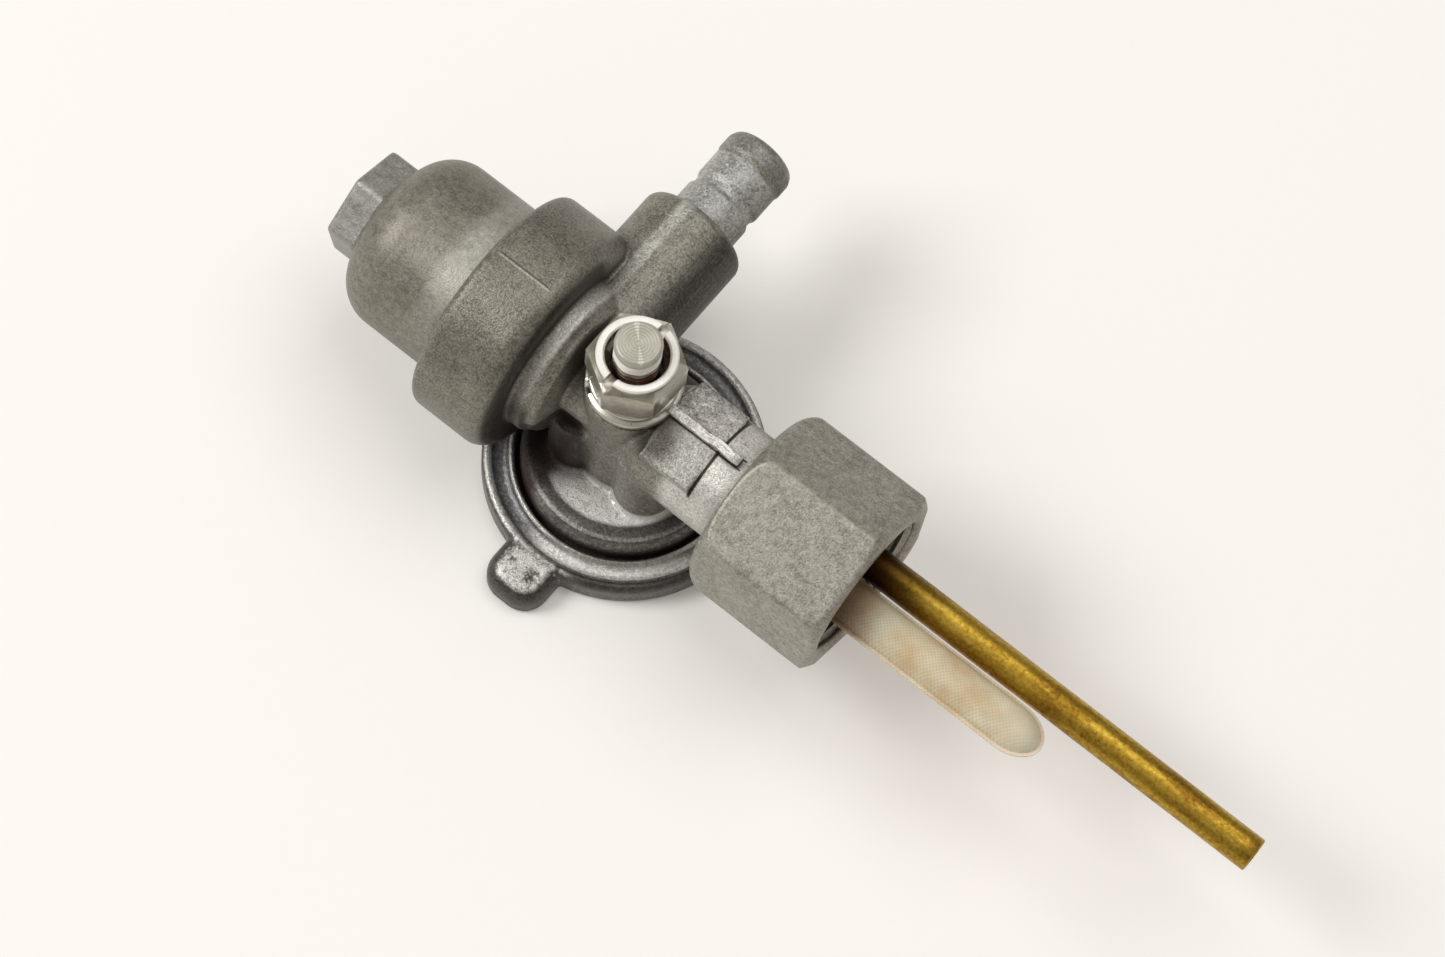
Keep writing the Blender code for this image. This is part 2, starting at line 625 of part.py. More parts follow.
def union_nut(parts, tools, material):
    """Long hexagon nut, rounded at the back, that draws the tap up to the tank."""
    corner = UNION_FLATS / 2 / cos(pi / 6)
    nut = hexagon("union_nut", UNION_FLATS, UNION_START, UNION_END, UNION_TURN, parts, INLET_AXIS, ALONG_X)
    outside = corner + SEAT_GAP
    shape = [(0, UNION_END)]
    shape += [(UNION_FLATS / 2 + UNION_FRONT_MARGIN, UNION_END)]
    shape += [(outside, UNION_END - UNION_FRONT_CHAMFER)]
    reach = outside - UNION_BORE - UNION_BACK_LAND
    shape += arc(outside - reach, UNION_START + UNION_CROWN, reach, 0, -90, UNION_CROWN / reach,
                 CROWN_STEPS)
    shape += [(0, UNION_START)]
    keep_inside(nut, turned("Union nut rounding", shape, tools, INLET_AXIS, ALONG_X))
    mouth = UNION_BORE + UNION_MOUTH
    bore = [(0, UNION_END + SEAT_GAP)]
    bore += [(mouth + SEAT_GAP, UNION_END + SEAT_GAP)]
    bore += [(UNION_BORE, UNION_END - UNION_MOUTH)]
    bore += [(UNION_BORE, UNION_START - SEAT_GAP)]
    bore += [(0, UNION_START - SEAT_GAP)]
    cut(nut, turned("Union nut bore", bore, tools, INLET_AXIS, ALONG_X, steps=MIDDLE_STEPS))
    nut.data.materials.append(material)
    return nut


def union_gasket(parts, material):
    """Fibre ring on the end of the neck, inside the union nut."""
    bottom = NECK_END + SEAT_GAP
    top = bottom + UNION_GASKET_THICKNESS
    outer = NECK_THREAD_RADIUS
    inner = outer - UNION_GASKET_WIDTH
    profile = [(inner, top), (outer, top), (outer, bottom), (inner, bottom)]
    gasket = turned("union_gasket", profile, parts, INLET_AXIS, ALONG_X, steps=MIDDLE_STEPS, closed=True)
    gasket.data.materials.append(material)
    return gasket


def standpipe(parts, material):
    """Brass tube pressed into the neck, open at both ends."""
    start = NECK_END - PIPE_SOCKET + SEAT_GAP
    inner = PIPE_RADIUS - PIPE_WALL
    profile = [(inner, PIPE_END), (PIPE_RADIUS, PIPE_END), (PIPE_RADIUS, start), (inner, start)]
    origin = INLET_AXIS + Vector((0, PIPE_Y, 0))
    pipe = turned("standpipe", profile, parts, origin, ALONG_X, steps=SMALL_STEPS, closed=True)
    pipe.data.materials.append(material)
    return pipe


def strainer_ferrule(parts, material):
    """Short tube that holds the strainer sleeve in the neck."""
    start = NECK_END - FERRULE_SOCKET + SEAT_GAP
    shoulder = STRAINER_START - SEAT_GAP
    spigot = STRAINER_HALF_HEIGHT - STRAINER_WALL - SEAT_GAP
    bore = spigot - FERRULE_WALL
    end = shoulder + FERRULE_SPIGOT
    profile = [(bore, end), (spigot, end), (spigot, shoulder), (FERRULE_RADIUS, shoulder)]
    profile += [(FERRULE_RADIUS, start), (bore, start)]
    origin = INLET_AXIS + Vector((0, STRAINER_Y, 0))
    ferrule = turned("strainer_ferrule", profile, parts, origin, ALONG_X, steps=SMALL_STEPS, closed=True)
    ferrule.data.materials.append(material)
    return ferrule


def strainer_sleeve(parts, tools, material):
    """Flattened gauze sleeve with a rounded tip and a welded seam round its edge."""
    tip_start = STRAINER_TIP - STRAINER_TIP_LENGTH
    origin = INLET_AXIS + Vector((0, STRAINER_Y, 0))
    flatten = Matrix.Diagonal((STRAINER_HALF_HEIGHT / STRAINER_HALF_WIDTH, 1, 1, 1))
    outside = arc(0, tip_start, STRAINER_HALF_WIDTH, 90, 0, STRAINER_TIP_LENGTH / STRAINER_HALF_WIDTH,
                  CROWN_STEPS)
    profile = [(0, STRAINER_TIP)]
    profile += outside[1:]
    profile += [(STRAINER_HALF_WIDTH, STRAINER_START)]
    profile += [(0, STRAINER_START)]
    sleeve = turned("strainer_sleeve", profile, parts, origin, ALONG_X @ flatten, steps=SMALL_STEPS)
    seam_width = STRAINER_HALF_WIDTH + STRAINER_SEAM
    seam_tip = STRAINER_TIP_LENGTH + STRAINER_SEAM
    seam_start = STRAINER_START + SEAT_GAP
    seam = [(seam_start, -seam_width)]
    for index in range(SEAM_STEPS + 1):
        angle = pi * index / SEAM_STEPS - pi / 2
        seam.append((tip_start + seam_tip * cos(angle), seam_width * sin(angle)))
    seam.append((seam_start, seam_width))
    shape = bmesh.new()
    face = shape.faces.new([shape.verts.new((x, y, -STRAINER_SEAM_THICKNESS / 2)) for x, y in seam])
    drawn = bmesh.ops.extrude_face_region(shape, geom=[face])
    moved = [part for part in drawn["geom"] if isinstance(part, bmesh.types.BMVert)]
    bmesh.ops.translate(shape, verts=moved, vec=(0, 0, STRAINER_SEAM_THICKNESS))
    join(sleeve, from_bmesh("Seam", shape, tools, origin))
    inner_width = STRAINER_HALF_WIDTH - STRAINER_WALL
    inner_tip = STRAINER_TIP_LENGTH - STRAINER_WALL
    inside = arc(0, tip_start, inner_width, 90, 0, inner_tip / inner_width, 5)
    hollow = [(0, tip_start + inner_tip)]
    hollow += inside[1:]
    hollow += [(inner_width, STRAINER_START - SEAT_GAP)]
    hollow += [(0, STRAINER_START - SEAT_GAP)]
    cut(sleeve, turned("Sleeve hollow", hollow, tools, origin, ALONG_X @ flatten, steps=SMALL_STEPS))
    sleeve.data.materials.append(material)
    return sleeve


def knob(parts, tools, material):
    """Round dished lever disc with a rounded lever on its rim."""
    floor = DISH_FLOOR
    hub_top = GASKET_ROOF - SEAT_GAP
    wall = LIP_RADIUS - LIP_WIDTH
    spindle_hole = SPINDLE_RADIUS + SEAT_GAP
    profile = [(0, SPINDLE_FOOT)]
    profile += [(spindle_hole, SPINDLE_FOOT)]
    profile += [(spindle_hole, hub_top)]
    profile += [(HUB_RADIUS, hub_top)]
    profile += [(HUB_RADIUS, floor)]
    profile += [(wall - DISH_ROUND, floor)]
    profile += [(wall, floor + DISH_ROUND)]
    profile += [(wall, DISC_LIP - LIP_CHAMFER)]
    profile += [(wall + LIP_CHAMFER, DISC_LIP)]
    profile += [(LIP_RADIUS - LIP_CHAMFER, DISC_LIP)]
    profile += [(LIP_RADIUS, DISC_BAND)]
    profile += [(LIP_RADIUS + DISC_BAND_WIDTH, DISC_BAND)]
    profile += arc(DISC_RADIUS - DISC_EDGE_ROUND, DISC_RIM - DISC_EDGE_ROUND, DISC_EDGE_ROUND, 90, 0)
    profile += arc(DISC_RADIUS - DISC_FOOT_ROUND, DISC_FOOT_ROUND, DISC_FOOT_ROUND, 0, -90, count=2)
    profile += [(0, 0)]
    disc = turned("knob", profile, parts)
    lever = bmesh.new()
    inner_end = -(LIP_RADIUS + DISC_BAND_WIDTH / 2)
    length = LEVER_REACH + inner_end
    bmesh.ops.create_cube(lever, size=1)
    bmesh.ops.scale(lever, vec=(2 * LEVER_HALF_WIDTH, length, LEVER_HEIGHT), verts=lever.verts)
    bmesh.ops.translate(lever, vec=(0, inner_end - length / 2, LEVER_HEIGHT / 2), verts=lever.verts)
    outer = [edge for edge in lever.edges if edge.verts[0].co.y < inner_end - length / 2]
    uprights = [edge for edge in outer if abs(edge.verts[0].co.z - edge.verts[1].co.z) > LEVER_HEIGHT / 2]
    bmesh.ops.bevel(lever, geom=uprights, offset=LEVER_CORNER, segments=6, profile=0.5, affect="EDGES")
    crest = [edge for edge in lever.edges if all(vert.co.z > LEVER_HEIGHT - WELD for vert in edge.verts)]
    bmesh.ops.bevel(lever, geom=crest, offset=LEVER_EDGE, segments=3, profile=0.5, affect="EDGES")
    foot = [edge for edge in lever.edges if all(vert.co.z < WELD for vert in edge.verts)]
    bmesh.ops.bevel(lever, geom=foot, offset=DISC_FOOT_ROUND, segments=2, profile=0.5, affect="EDGES")
    join(disc, from_bmesh("Lever", lever, tools))
    start = -ROTOR_GROOVE_SPAN / 2
    groove = swept_section("Rotor groove", PORT_CIRCLE - PORT_RADIUS, PORT_CIRCLE + PORT_RADIUS,
                           floor - ROTOR_GROOVE_DEPTH, floor + SEAT_GAP, start, ROTOR_GROOVE_SPAN, 0,
                           GROOVE_STEPS, tools)
    cut(disc, groove)
    disc.data.materials.append(material)
    return disc


def spindle(parts, tools, material):
    """Stud cast into the lever disc's hub, threaded at its top."""
    bottom = SPINDLE_FOOT + SEAT_GAP
    profile = [(0, SPINDLE_TOP)]
    profile += [(SPINDLE_RADIUS - SPINDLE_CHAMFER, SPINDLE_TOP)]
    profile += [(SPINDLE_RADIUS, SPINDLE_TOP - SPINDLE_CHAMFER)]
    profile += [(SPINDLE_RADIUS, bottom)]
    profile += [(0, bottom)]
    stud = turned("spindle", profile, parts, steps=SMALL_STEPS)
    stud.data.materials.append(material)
    return stud


def valve_gasket(parts, tools, material):
    """Rubber disc with four ports between the valve plate and the lever disc."""
    profile = [(GASKET_HOLE, GASKET_TOP), (GASKET_RADIUS, GASKET_TOP)]
    profile += [(GASKET_RADIUS, GASKET_BOTTOM), (GASKET_HOLE, GASKET_BOTTOM)]
    gasket = turned("valve_gasket", profile, parts, steps=MIDDLE_STEPS, closed=True)
    for x in (PORT_X, -PORT_X):
        for y in (PIPE_Y, STRAINER_Y):
            start = (x, y, GASKET_BOTTOM - SEAT_GAP)
            end = (x, y, GASKET_ROOF)
            cut(gasket, rod("Gasket port", GASKET_PORT_RADIUS, start, end, tools, steps=DRILL_STEPS))
    gasket.data.materials.append(material)
    return gasket


def spindle_seal(parts, material):
    """Round-section ring in the groove round the spindle."""
    middle = BOSS_TOP - SEAL_DEPTH
    ring = SPINDLE_BORE + SEAL_SECTION
    profile = arc(ring, middle, SEAL_SECTION, 180, -180, count=8)[:-1]
    seal = turned("spindle_seal", profile, parts, steps=SMALL_STEPS, closed=True)
    seal.data.materials.append(material)
    return seal


def spring_washer(parts, material):
    """Split washer whose ends stand apart."""
    inner = SPINDLE_RADIUS + SEAT_GAP
    washer = swept_section("spring_washer", inner, SPRING_WASHER_RADIUS, SPRING_WASHER_BOTTOM,
                           SPRING_WASHER_BOTTOM + SPRING_WASHER_THICKNESS, SPRING_WASHER_SPLIT,
                           SPRING_WASHER_SWEEP, SPRING_WASHER_RISE, WASHER_STEPS, parts)
    washer.data.materials.append(material)
    return washer


def flat_washer(parts, material):
    """Thin washer under the nut."""
    inner = SPINDLE_RADIUS + SEAT_GAP
    bottom = FLAT_WASHER_BOTTOM
    top = bottom + FLAT_WASHER_THICKNESS
    profile = [(inner, top), (FLAT_WASHER_RADIUS, top), (FLAT_WASHER_RADIUS, bottom), (inner, bottom)]
    washer = turned("flat_washer", profile, parts, steps=MIDDLE_STEPS, closed=True)
    washer.data.materials.append(material)
    return washer


def spindle_nut(parts, tools, material):
    """Hexagon nut with a turned ring on top, hollowed and slotted for a driver."""
    hex_top = NUT_BOTTOM + NUT_HEX_HEIGHT
    ring_top = NUT_TOP
    corner = NUT_FLATS / 2 / cos(pi / 6)
    nut = hexagon("spindle_nut", NUT_FLATS, NUT_BOTTOM, ring_top, NUT_TURN - pi / 2, parts)
    outside = corner + SEAT_GAP
    slope = tan(NUT_CHAMFER)
    shape = [(0, ring_top)]
    shape += [(NUT_RING_RADIUS, ring_top)]
    shape += [(NUT_RING_RADIUS, hex_top)]
    shape += [(outside, hex_top - (outside - NUT_RING_RADIUS) * slope)]
    shape += [(outside, NUT_BOTTOM + (outside - NUT_RING_RADIUS) * slope)]
    shape += [(NUT_RING_RADIUS, NUT_BOTTOM)]
    shape += [(0, NUT_BOTTOM)]
    keep_inside(nut, turned("Nut rounding", shape, tools))
    bore = SPINDLE_RADIUS + THREAD_GAP
    above = ring_top + SEAT_GAP
    hole = [(0, above)]
    hole += [(NUT_RECESS_RADIUS, above)]
    hole += [(NUT_RECESS_RADIUS, ring_top - NUT_RECESS_DEPTH)]
    hole += [(bore, ring_top - NUT_RECESS_DEPTH)]
    hole += [(bore, NUT_BOTTOM - SEAT_GAP)]
    hole += [(0, NUT_BOTTOM - SEAT_GAP)]
    cut(nut, turned("Nut bore", hole, tools, steps=SMALL_STEPS))
    slot = block("Driver slot", (CUT_THROUGH, NUT_SLOT_WIDTH, 2 * NUT_SLOT_DEPTH), (0, 0, ring_top), tools,
                 Matrix.Rotation(NUT_SLOT_TURN, 4, "Z"))
    cut(nut, slot)
    nut.data.materials.append(material)
    return nut


def main():
    """Builds the whole tap."""
    clear_scene()
    parts = make_collection("Fuel tap")
    tools = make_collection("Cutters")
    casting = make_material("Cast zinc", (0.42, 0.41, 0.38), 0.5, 0.6)
    disc_zinc = make_material("Disc zinc", (0.50, 0.49, 0.46), 0.42, 0.6)
    nut_zinc = make_material("Dull zinc", (0.36, 0.355, 0.33), 0.6, 0.5)
    plated = make_material("Plated steel", (0.72, 0.70, 0.64), 0.3, 0.9)
    brass = make_material("Aged brass", (0.36, 0.25, 0.06), 0.45, 0.7)
    nylon = make_material("Nylon", (0.78, 0.72, 0.58), 0.5, 0.0)
    gauze = make_material("Gauze", (0.70, 0.64, 0.52), 0.6, 0.0)
    rubber = make_material("Rubber", (0.03, 0.03, 0.03), 0.7, 0.0)
    fibre = make_material("Fibre", (0.16, 0.06, 0.03), 0.8, 0.0)
    tap_body(parts, tools, casting)
    sediment_bowl(parts, tools, nut_zinc)
    bowl_gasket(parts, rubber)
    bowl_screen_frame(parts, tools, nylon)
    bowl_screen_gauze(parts, gauze)
    union_nut(parts, tools, nut_zinc)
    union_gasket(parts, fibre)
    standpipe(parts, brass)
    strainer_ferrule(parts, nylon)
    strainer_sleeve(parts, tools, gauze)
    knob(parts, tools, disc_zinc)
    spindle(parts, tools, plated)
    valve_gasket(parts, tools, rubber)
    spindle_seal(parts, rubber)
    spring_washer(parts, plated)
    flat_washer(parts, plated)
    spindle_nut(parts, tools, plated)


main()
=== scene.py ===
# %% [markdown]
# # A fuel tap on a pale table
#
# The object is the tap of a small motorcycle: a zinc casting with a lever disc underneath, a sediment
# bowl, a hose outlet, a union nut, and a brass pipe with a gauze sleeve beside it.  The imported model
# gives every size and joint.  This lesson dresses it: each visible piece is modelled again with finer
# edges, and each surface gets a finish.

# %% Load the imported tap
import json
from math import atan2, cos, degrees, hypot, pi, radians, sin, tan

import bmesh
import bpy
from mathutils import Matrix, Vector, noise


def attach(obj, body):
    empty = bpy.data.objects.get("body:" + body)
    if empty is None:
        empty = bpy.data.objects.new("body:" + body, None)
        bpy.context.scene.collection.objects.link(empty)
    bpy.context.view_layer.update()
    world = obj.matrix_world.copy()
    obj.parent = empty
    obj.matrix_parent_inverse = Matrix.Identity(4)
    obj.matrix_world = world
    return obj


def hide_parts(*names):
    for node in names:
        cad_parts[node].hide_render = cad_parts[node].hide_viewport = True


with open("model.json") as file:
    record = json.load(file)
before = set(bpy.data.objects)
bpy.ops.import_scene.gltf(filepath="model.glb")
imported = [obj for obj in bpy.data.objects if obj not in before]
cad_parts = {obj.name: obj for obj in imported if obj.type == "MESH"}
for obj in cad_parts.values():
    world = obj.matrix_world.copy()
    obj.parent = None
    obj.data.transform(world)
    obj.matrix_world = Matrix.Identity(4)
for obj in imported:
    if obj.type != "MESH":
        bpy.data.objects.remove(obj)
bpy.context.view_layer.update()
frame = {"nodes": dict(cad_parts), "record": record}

print("nodes:", sorted(frame["nodes"]))

# %% [markdown]
# ## The camera
#
# The photograph looks steeply down on the tap.  Its direction comes from the outlines of round pieces
# whose axes are square to each other, so the three directions of the camera are written out here, and
# the focal length is a long one because the far end is hardly smaller than the near end.

# %% Place the camera
CAMERA_PLACE = Vector((0.094077, -0.145841, 0.443009))
CAMERA_RIGHT = Vector((0.7795, 0.6233, 0.0631)).normalized()
CAMERA_BACK = Vector((0.1793, -0.3185, 0.9308)).normalized()
CAMERA_UP = CAMERA_BACK.cross(CAMERA_RIGHT).normalized()
FRAME_WIDTH, FOCAL_LENGTH = 1445, 4501.08        # in the photograph's pixels
SENSOR = 36

camera_data = bpy.data.cameras.new("Camera")
camera_data.sensor_fit = "HORIZONTAL"
camera_data.sensor_width = SENSOR
camera_data.lens = SENSOR * FOCAL_LENGTH / FRAME_WIDTH
camera_data.clip_start = 0.01
camera_data.clip_end = 10
camera = bpy.data.objects.new("Camera", camera_data)
bpy.context.scene.collection.objects.link(camera)
turn = Matrix((CAMERA_BACK.cross(CAMERA_UP) * -1, CAMERA_UP, CAMERA_BACK)).transposed()
camera.matrix_world = Matrix.Translation(CAMERA_PLACE) @ turn.to_4x4()
bpy.context.scene.camera = camera
print("camera looks down by", round(90 - degrees(CAMERA_BACK.angle(Vector((0, 0, 1)))), 1), "degrees")

# %% [markdown]
# ## Shader sums in plain Python
#
# A finish is a sum of patterns.  Wrapping a socket in a small class lets Python's own signs add the
# Math nodes, so that a line such as `1 - mask * 0.3` reads as the sum it makes.


# %% A socket that can be used in sums
class Value:
    def __init__(self, finish, socket):
        self.finish = finish
        self.socket = socket

    def math(self, operation, *others):
        return self.finish.node("ShaderNodeMath", {"operation": operation}, {
            index: item for index, item in enumerate((self, *others))})

    def __add__(self, other):
        return self.math("ADD", other)

    __radd__ = __add__

    def __mul__(self, other):
        return self.math("MULTIPLY", other)

    __rmul__ = __mul__

    def __sub__(self, other):
        return self.math("SUBTRACT", other)

    def __rsub__(self, other):
        return self.finish.node("ShaderNodeMath", {"operation": "SUBTRACT"}, {0: other, 1: self})

    def between(self, low, high):
        """0 below low, 1 above high and a smooth step from one to the other."""
        return self.finish.node("ShaderNodeMapRange", {"interpolation_type": "SMOOTHSTEP", "clamp": True},
                                {"Value": self, "From Min": low, "From Max": high})

    def until(self, low, high):
        """1 below low, 0 above high and a smooth step from one to the other."""
        return 1 - self.between(low, high)


# %% A finish and its nodes
class Finish:
    def __init__(self, name, roughness=0.5, metallic=0.0, **constants):
        self.material = bpy.data.materials.new(name)
        self.material.use_nodes = True
        self.tree = self.material.node_tree
        self.shader = self.tree.nodes["Principled BSDF"]
        self.shader.inputs["Roughness"].default_value = roughness
        self.shader.inputs["Metallic"].default_value = metallic
        for socket, value in constants.items():
            self.shader.inputs[socket.replace("_", " ")].default_value = value
        self.place = self.node("ShaderNodeTexCoord", {}, {}, "Object")

    def set(self, socket, value):
        """Puts a number, a colour or another node's result on a socket."""
        if isinstance(value, Value):
            self.tree.links.new(value.socket, socket)
        elif isinstance(value, (tuple, list)) and len(value) == 3 and socket.type == "RGBA":
            socket.default_value = (*value, 1)
        else:
            socket.default_value = value

    def node(self, kind, settings, sockets, output=0):
        """Adds any node: its type, its settings, its sockets and the output that is wanted."""
        made = self.tree.nodes.new(kind)
        for name, value in settings.items():
            if name == "stops":
                ramp = made.color_ramp
                while len(ramp.elements) < len(value):
                    ramp.elements.new(0.5)
                for element, (position, colour) in zip(ramp.elements, value):
                    element.position = position
                    element.color = (*colour, 1)
            else:
                setattr(made, name, value)
        for name, value in sockets.items():
            self.set(made.inputs[name], value)
        return Value(self, made.outputs[output])

    def along(self, axis):
        """A place's distance from the origin along "X", "Y" or "Z"."""
        return self.node("ShaderNodeSeparateXYZ", {}, {"Vector": self.place}, axis)

    def noise(self, size, detail=3, roughness=0.55, stretch=(1, 1, 1), shift=(0, 0, 0)):
        """Soft blotches about as wide as size, in metres."""
        place = self.node("ShaderNodeMapping", {}, {
            "Vector": self.place, "Scale": stretch, "Location": shift})
        return self.node("ShaderNodeTexNoise", {}, {
            "Vector": place, "Scale": 1 / size, "Detail": detail, "Roughness": roughness})

    def ramp(self, value, stops):
        return self.node("ShaderNodeValToRGB", {"stops": stops}, {"Fac": value})

    def mix(self, factor, first, second):
        return self.node("ShaderNodeMix", {"data_type": "RGBA"}, {0: factor, 6: first, 7: second}, 2)

    def bump(self, height, depth, strength):
        """Tilts the surface by a height pattern that is depth metres deep."""
        return self.node("ShaderNodeBump", {}, {"Height": height, "Distance": depth, "Strength": strength})

    def corner(self, low, high):
        """How far a place is a sharp outer edge, from the mesh itself."""
        return self.node("ShaderNodeNewGeometry", {}, {}, "Pointiness").between(low, high)

    def hollow(self, reach):
        """How far a place is shut in by what stands round it, 0 in the open."""
        return 1 - self.node("ShaderNodeAmbientOcclusion", {"samples": 12}, {"Distance": reach}, "AO")

    def use(self, **links):
        for name, value in links.items():
            self.set(self.shader.inputs[name.replace("_", " ")], value)
        return self


# %% [markdown]
# ## The table and the light
#
# The tap stands on a white table by a window.  The table is pale by its own colour, not by a flood of
# light: for the camera it is partly a plain white, which keeps the soft shadow, and the lamps stay at
# the level at which a colour looks as it is written.

# %% Make the table
TABLE_WHITE = (0.96, 0.94, 0.91)
PLAIN_SHARE = 0.15               # how much of the table's look is plain white

bpy.ops.mesh.primitive_plane_add(size=3, location=(0, 0, 0))
table_top = bpy.context.object
table_top.name = "Table"
table = Finish("Table white", roughness=0.75)
grain = table.noise(0.0012, 2) * 0.6 + table.noise(0.006, 2) * 0.4
table.use(Base_Color=TABLE_WHITE, Normal=table.bump(grain, 0.00006, 0.5))
seen, mirrored, through = (
    table.node("ShaderNodeLightPath", {}, {}, ray)
    for ray in ("Is Camera Ray", "Is Glossy Ray", "Is Transmission Ray"))
glow = table.node("ShaderNodeEmission", {}, {"Color": TABLE_WHITE, "Strength": 1.0}, "Emission")
plain = Value(table, table.shader.outputs[0])
share = (seen + mirrored + through).math("MINIMUM", 1.0) * PLAIN_SHARE
shown = table.node("ShaderNodeMixShader", {}, {0: share, 1: plain, 2: glow})
output = table.tree.nodes["Material Output"]
table.tree.links.new(shown.socket, output.inputs["Surface"])
table_top.data.materials.append(table.material)
print("table:", len(table.tree.nodes), "nodes")


# %% Hang the lamps
def soft_lamp(name, direction, distance, size, power, colour):
    """A square lamp that looks at the middle of the tap."""
    data = bpy.data.lights.new(name, "AREA")
    data.shape = "SQUARE"
    data.size = size
    data.energy = power
    data.color = colour
    lamp = bpy.data.objects.new(name, data)
    bpy.context.scene.collection.objects.link(lamp)
    middle = Vector((0.012, 0.0, 0.012))
    place = middle + direction.normalized() * distance
    facing = (place - middle).to_track_quat("Z", "Y")
    lamp.matrix_world = Matrix.Translation(place) @ facing.to_matrix().to_4x4()


WINDOW = -0.85 * CAMERA_RIGHT + 0.45 * CAMERA_UP + 0.90 * CAMERA_BACK
SKYLIGHT = 0.40 * CAMERA_RIGHT + 0.60 * CAMERA_UP + 1.0 * CAMERA_BACK
soft_lamp("Window", WINDOW, 1.6, 0.7, 15.0, (1.0, 0.995, 0.985))
soft_lamp("Skylight", SKYLIGHT, 1.4, 1.0, 7.2, (1.0, 0.995, 0.99))

world = bpy.data.worlds.new("Room light")
world.use_nodes = True
bpy.context.scene.world = world
world.node_tree.nodes["Background"].inputs["Color"].default_value = (1.0, 0.92, 0.84, 1)
world.node_tree.nodes["Background"].inputs["Strength"].default_value = 0.32
bpy.context.scene.view_settings.view_transform = "Standard"

# %% [markdown]
# ## The ground of the zinc
#
# Zinc castings come out of the mould light and smooth, then dull to a mottled olive grey.  Hands and
# tools polish what stands out, and bare metal shows as bright speckles.  The corners are painted dark
# brown, for grime and for the shade that falls there.  One function makes the tap's three zinc
# surfaces: a ground tone, and zones laid over it, many of them painted highlights and painted shade.
# A zone could be painted on the mesh, but a mask that is worked out from the place needs no picture
# and stays sharp from near.

# %% Masks by place
AXIS = 0.0175                    # height of the inlet and of the outlet


def ball(finish, centre, radius, edge):
    """1 inside a ball and 0 outside it, with an edge of the given width."""
    away = finish.node("ShaderNodeVectorMath", {"operation": "DISTANCE"}, {0: finish.place, 1: centre}, 1)
    return away.until(radius - edge, radius + edge)


def span(value, low, high, edge=0.0003):
    """1 between two numbers and 0 outside them."""
    return value.between(low - edge, low + edge) * value.until(high - edge, high + edge)


def below(value, height, edge=0.0003):
    return value.until(height - edge, height + edge)


def radius_about_z(finish):
    x, y = finish.along("X"), finish.along("Y")
    return (x * x + y * y).math("SQRT")


def radius_about_inlet(finish):
    y, z = finish.along("Y"), finish.along("Z") - AXIS
    return (y * y + z * z).math("SQRT")


# %% The zinc itself
BARE_METAL = (0.74, 0.735, 0.70)
WORN_EDGE = (0.66, 0.65, 0.61)
# Dark brown for the corners: grime, and painted shade
GRIME_AND_SHADE = (0.040, 0.028, 0.022)


def zinc(name, dark, light, roughness, zones, glitter, dirt_and_shade, reach, worn,
         grain=0.00013, speckle=1.8, mottle=0.55):
    """Mottled zinc; a zone is its mask, its two tones and how strongly its bare metal glitters."""
    finish = Finish(name, metallic=0.55, Specular_IOR_Level=0.5)
    clouds = finish.noise(0.0042, 4, 0.6)
    spots = finish.noise(0.0008, 3, 0.65)
    fine = finish.noise(0.00022, 2, 0.7)
    tone = (clouds - 0.5) * mottle + (spots - 0.5) * 0.8 + (fine - 0.5) * speckle + 0.5
    colour = finish.ramp(tone, [(0.25, dark), (0.75, light)])
    flecks = finish.noise(0.00042, 3, 0.75, shift=(0.01, 0, 0)).between(0.45, 0.66)
    bare = glitter
    for group in zones:
        for mask, deep, pale, strength in group(finish):
            ground = finish.ramp(tone, [(0.2, deep), (0.8, pale)])
            colour = finish.mix(mask, colour, ground)
            bare = mask * strength + (1 - mask) * bare
    amount = flecks * bare
    colour = finish.mix(amount, colour, BARE_METAL)
    edges = finish.corner(0.54, 0.62) * worn
    colour = finish.mix(edges, colour, WORN_EDGE)
    # Corners are painted dark brown by how shut in they are: grime, and painted shade
    kept = finish.hollow(reach) * (spots * 0.8 + clouds * 0.4 + 0.4)
    grime_and_shade = kept.between(0.20, 0.62) * (1 - bare * 0.8) * dirt_and_shade
    colour = finish.mix(grime_and_shade, colour, GRIME_AND_SHADE)
    rough = (spots - 0.5) * 0.3 + roughness - amount * 0.12 - edges * 0.10 + grime_and_shade * 0.25
    height = clouds * 0.25 + spots * 0.35 + fine * 0.40 + flecks * amount * 0.5
    print(name, "has", len(finish.tree.nodes), "nodes")
    return finish.use(Base_Color=colour, Roughness=rough, Normal=finish.bump(height, grain, 0.9))


# %% [markdown]
# ## Zones of the casting
#
# The casting is painted darkest between the boss and the collar, as shade in that hollow and on the
# collar's flank and the ring's lower side.  It is brightest on the near part of the valve plate, a painted
# highlight, and on the chipped ridge of the neck.  The ring's crest also carries a painted highlight.
# Later zones lie over earlier ones, so the collar and the boss come first and the lines of the mould last.


# %% Collar, boss and valve plate
def collar_zones(finish):
    on_collar = finish.along("X").until(-0.0104, -0.0096) \
        * span(radius_about_inlet(finish), 0.0104, 0.0136, 0.0002)
    return [(on_collar, (0.110, 0.103, 0.083), (0.275, 0.264, 0.219), 0.0)]


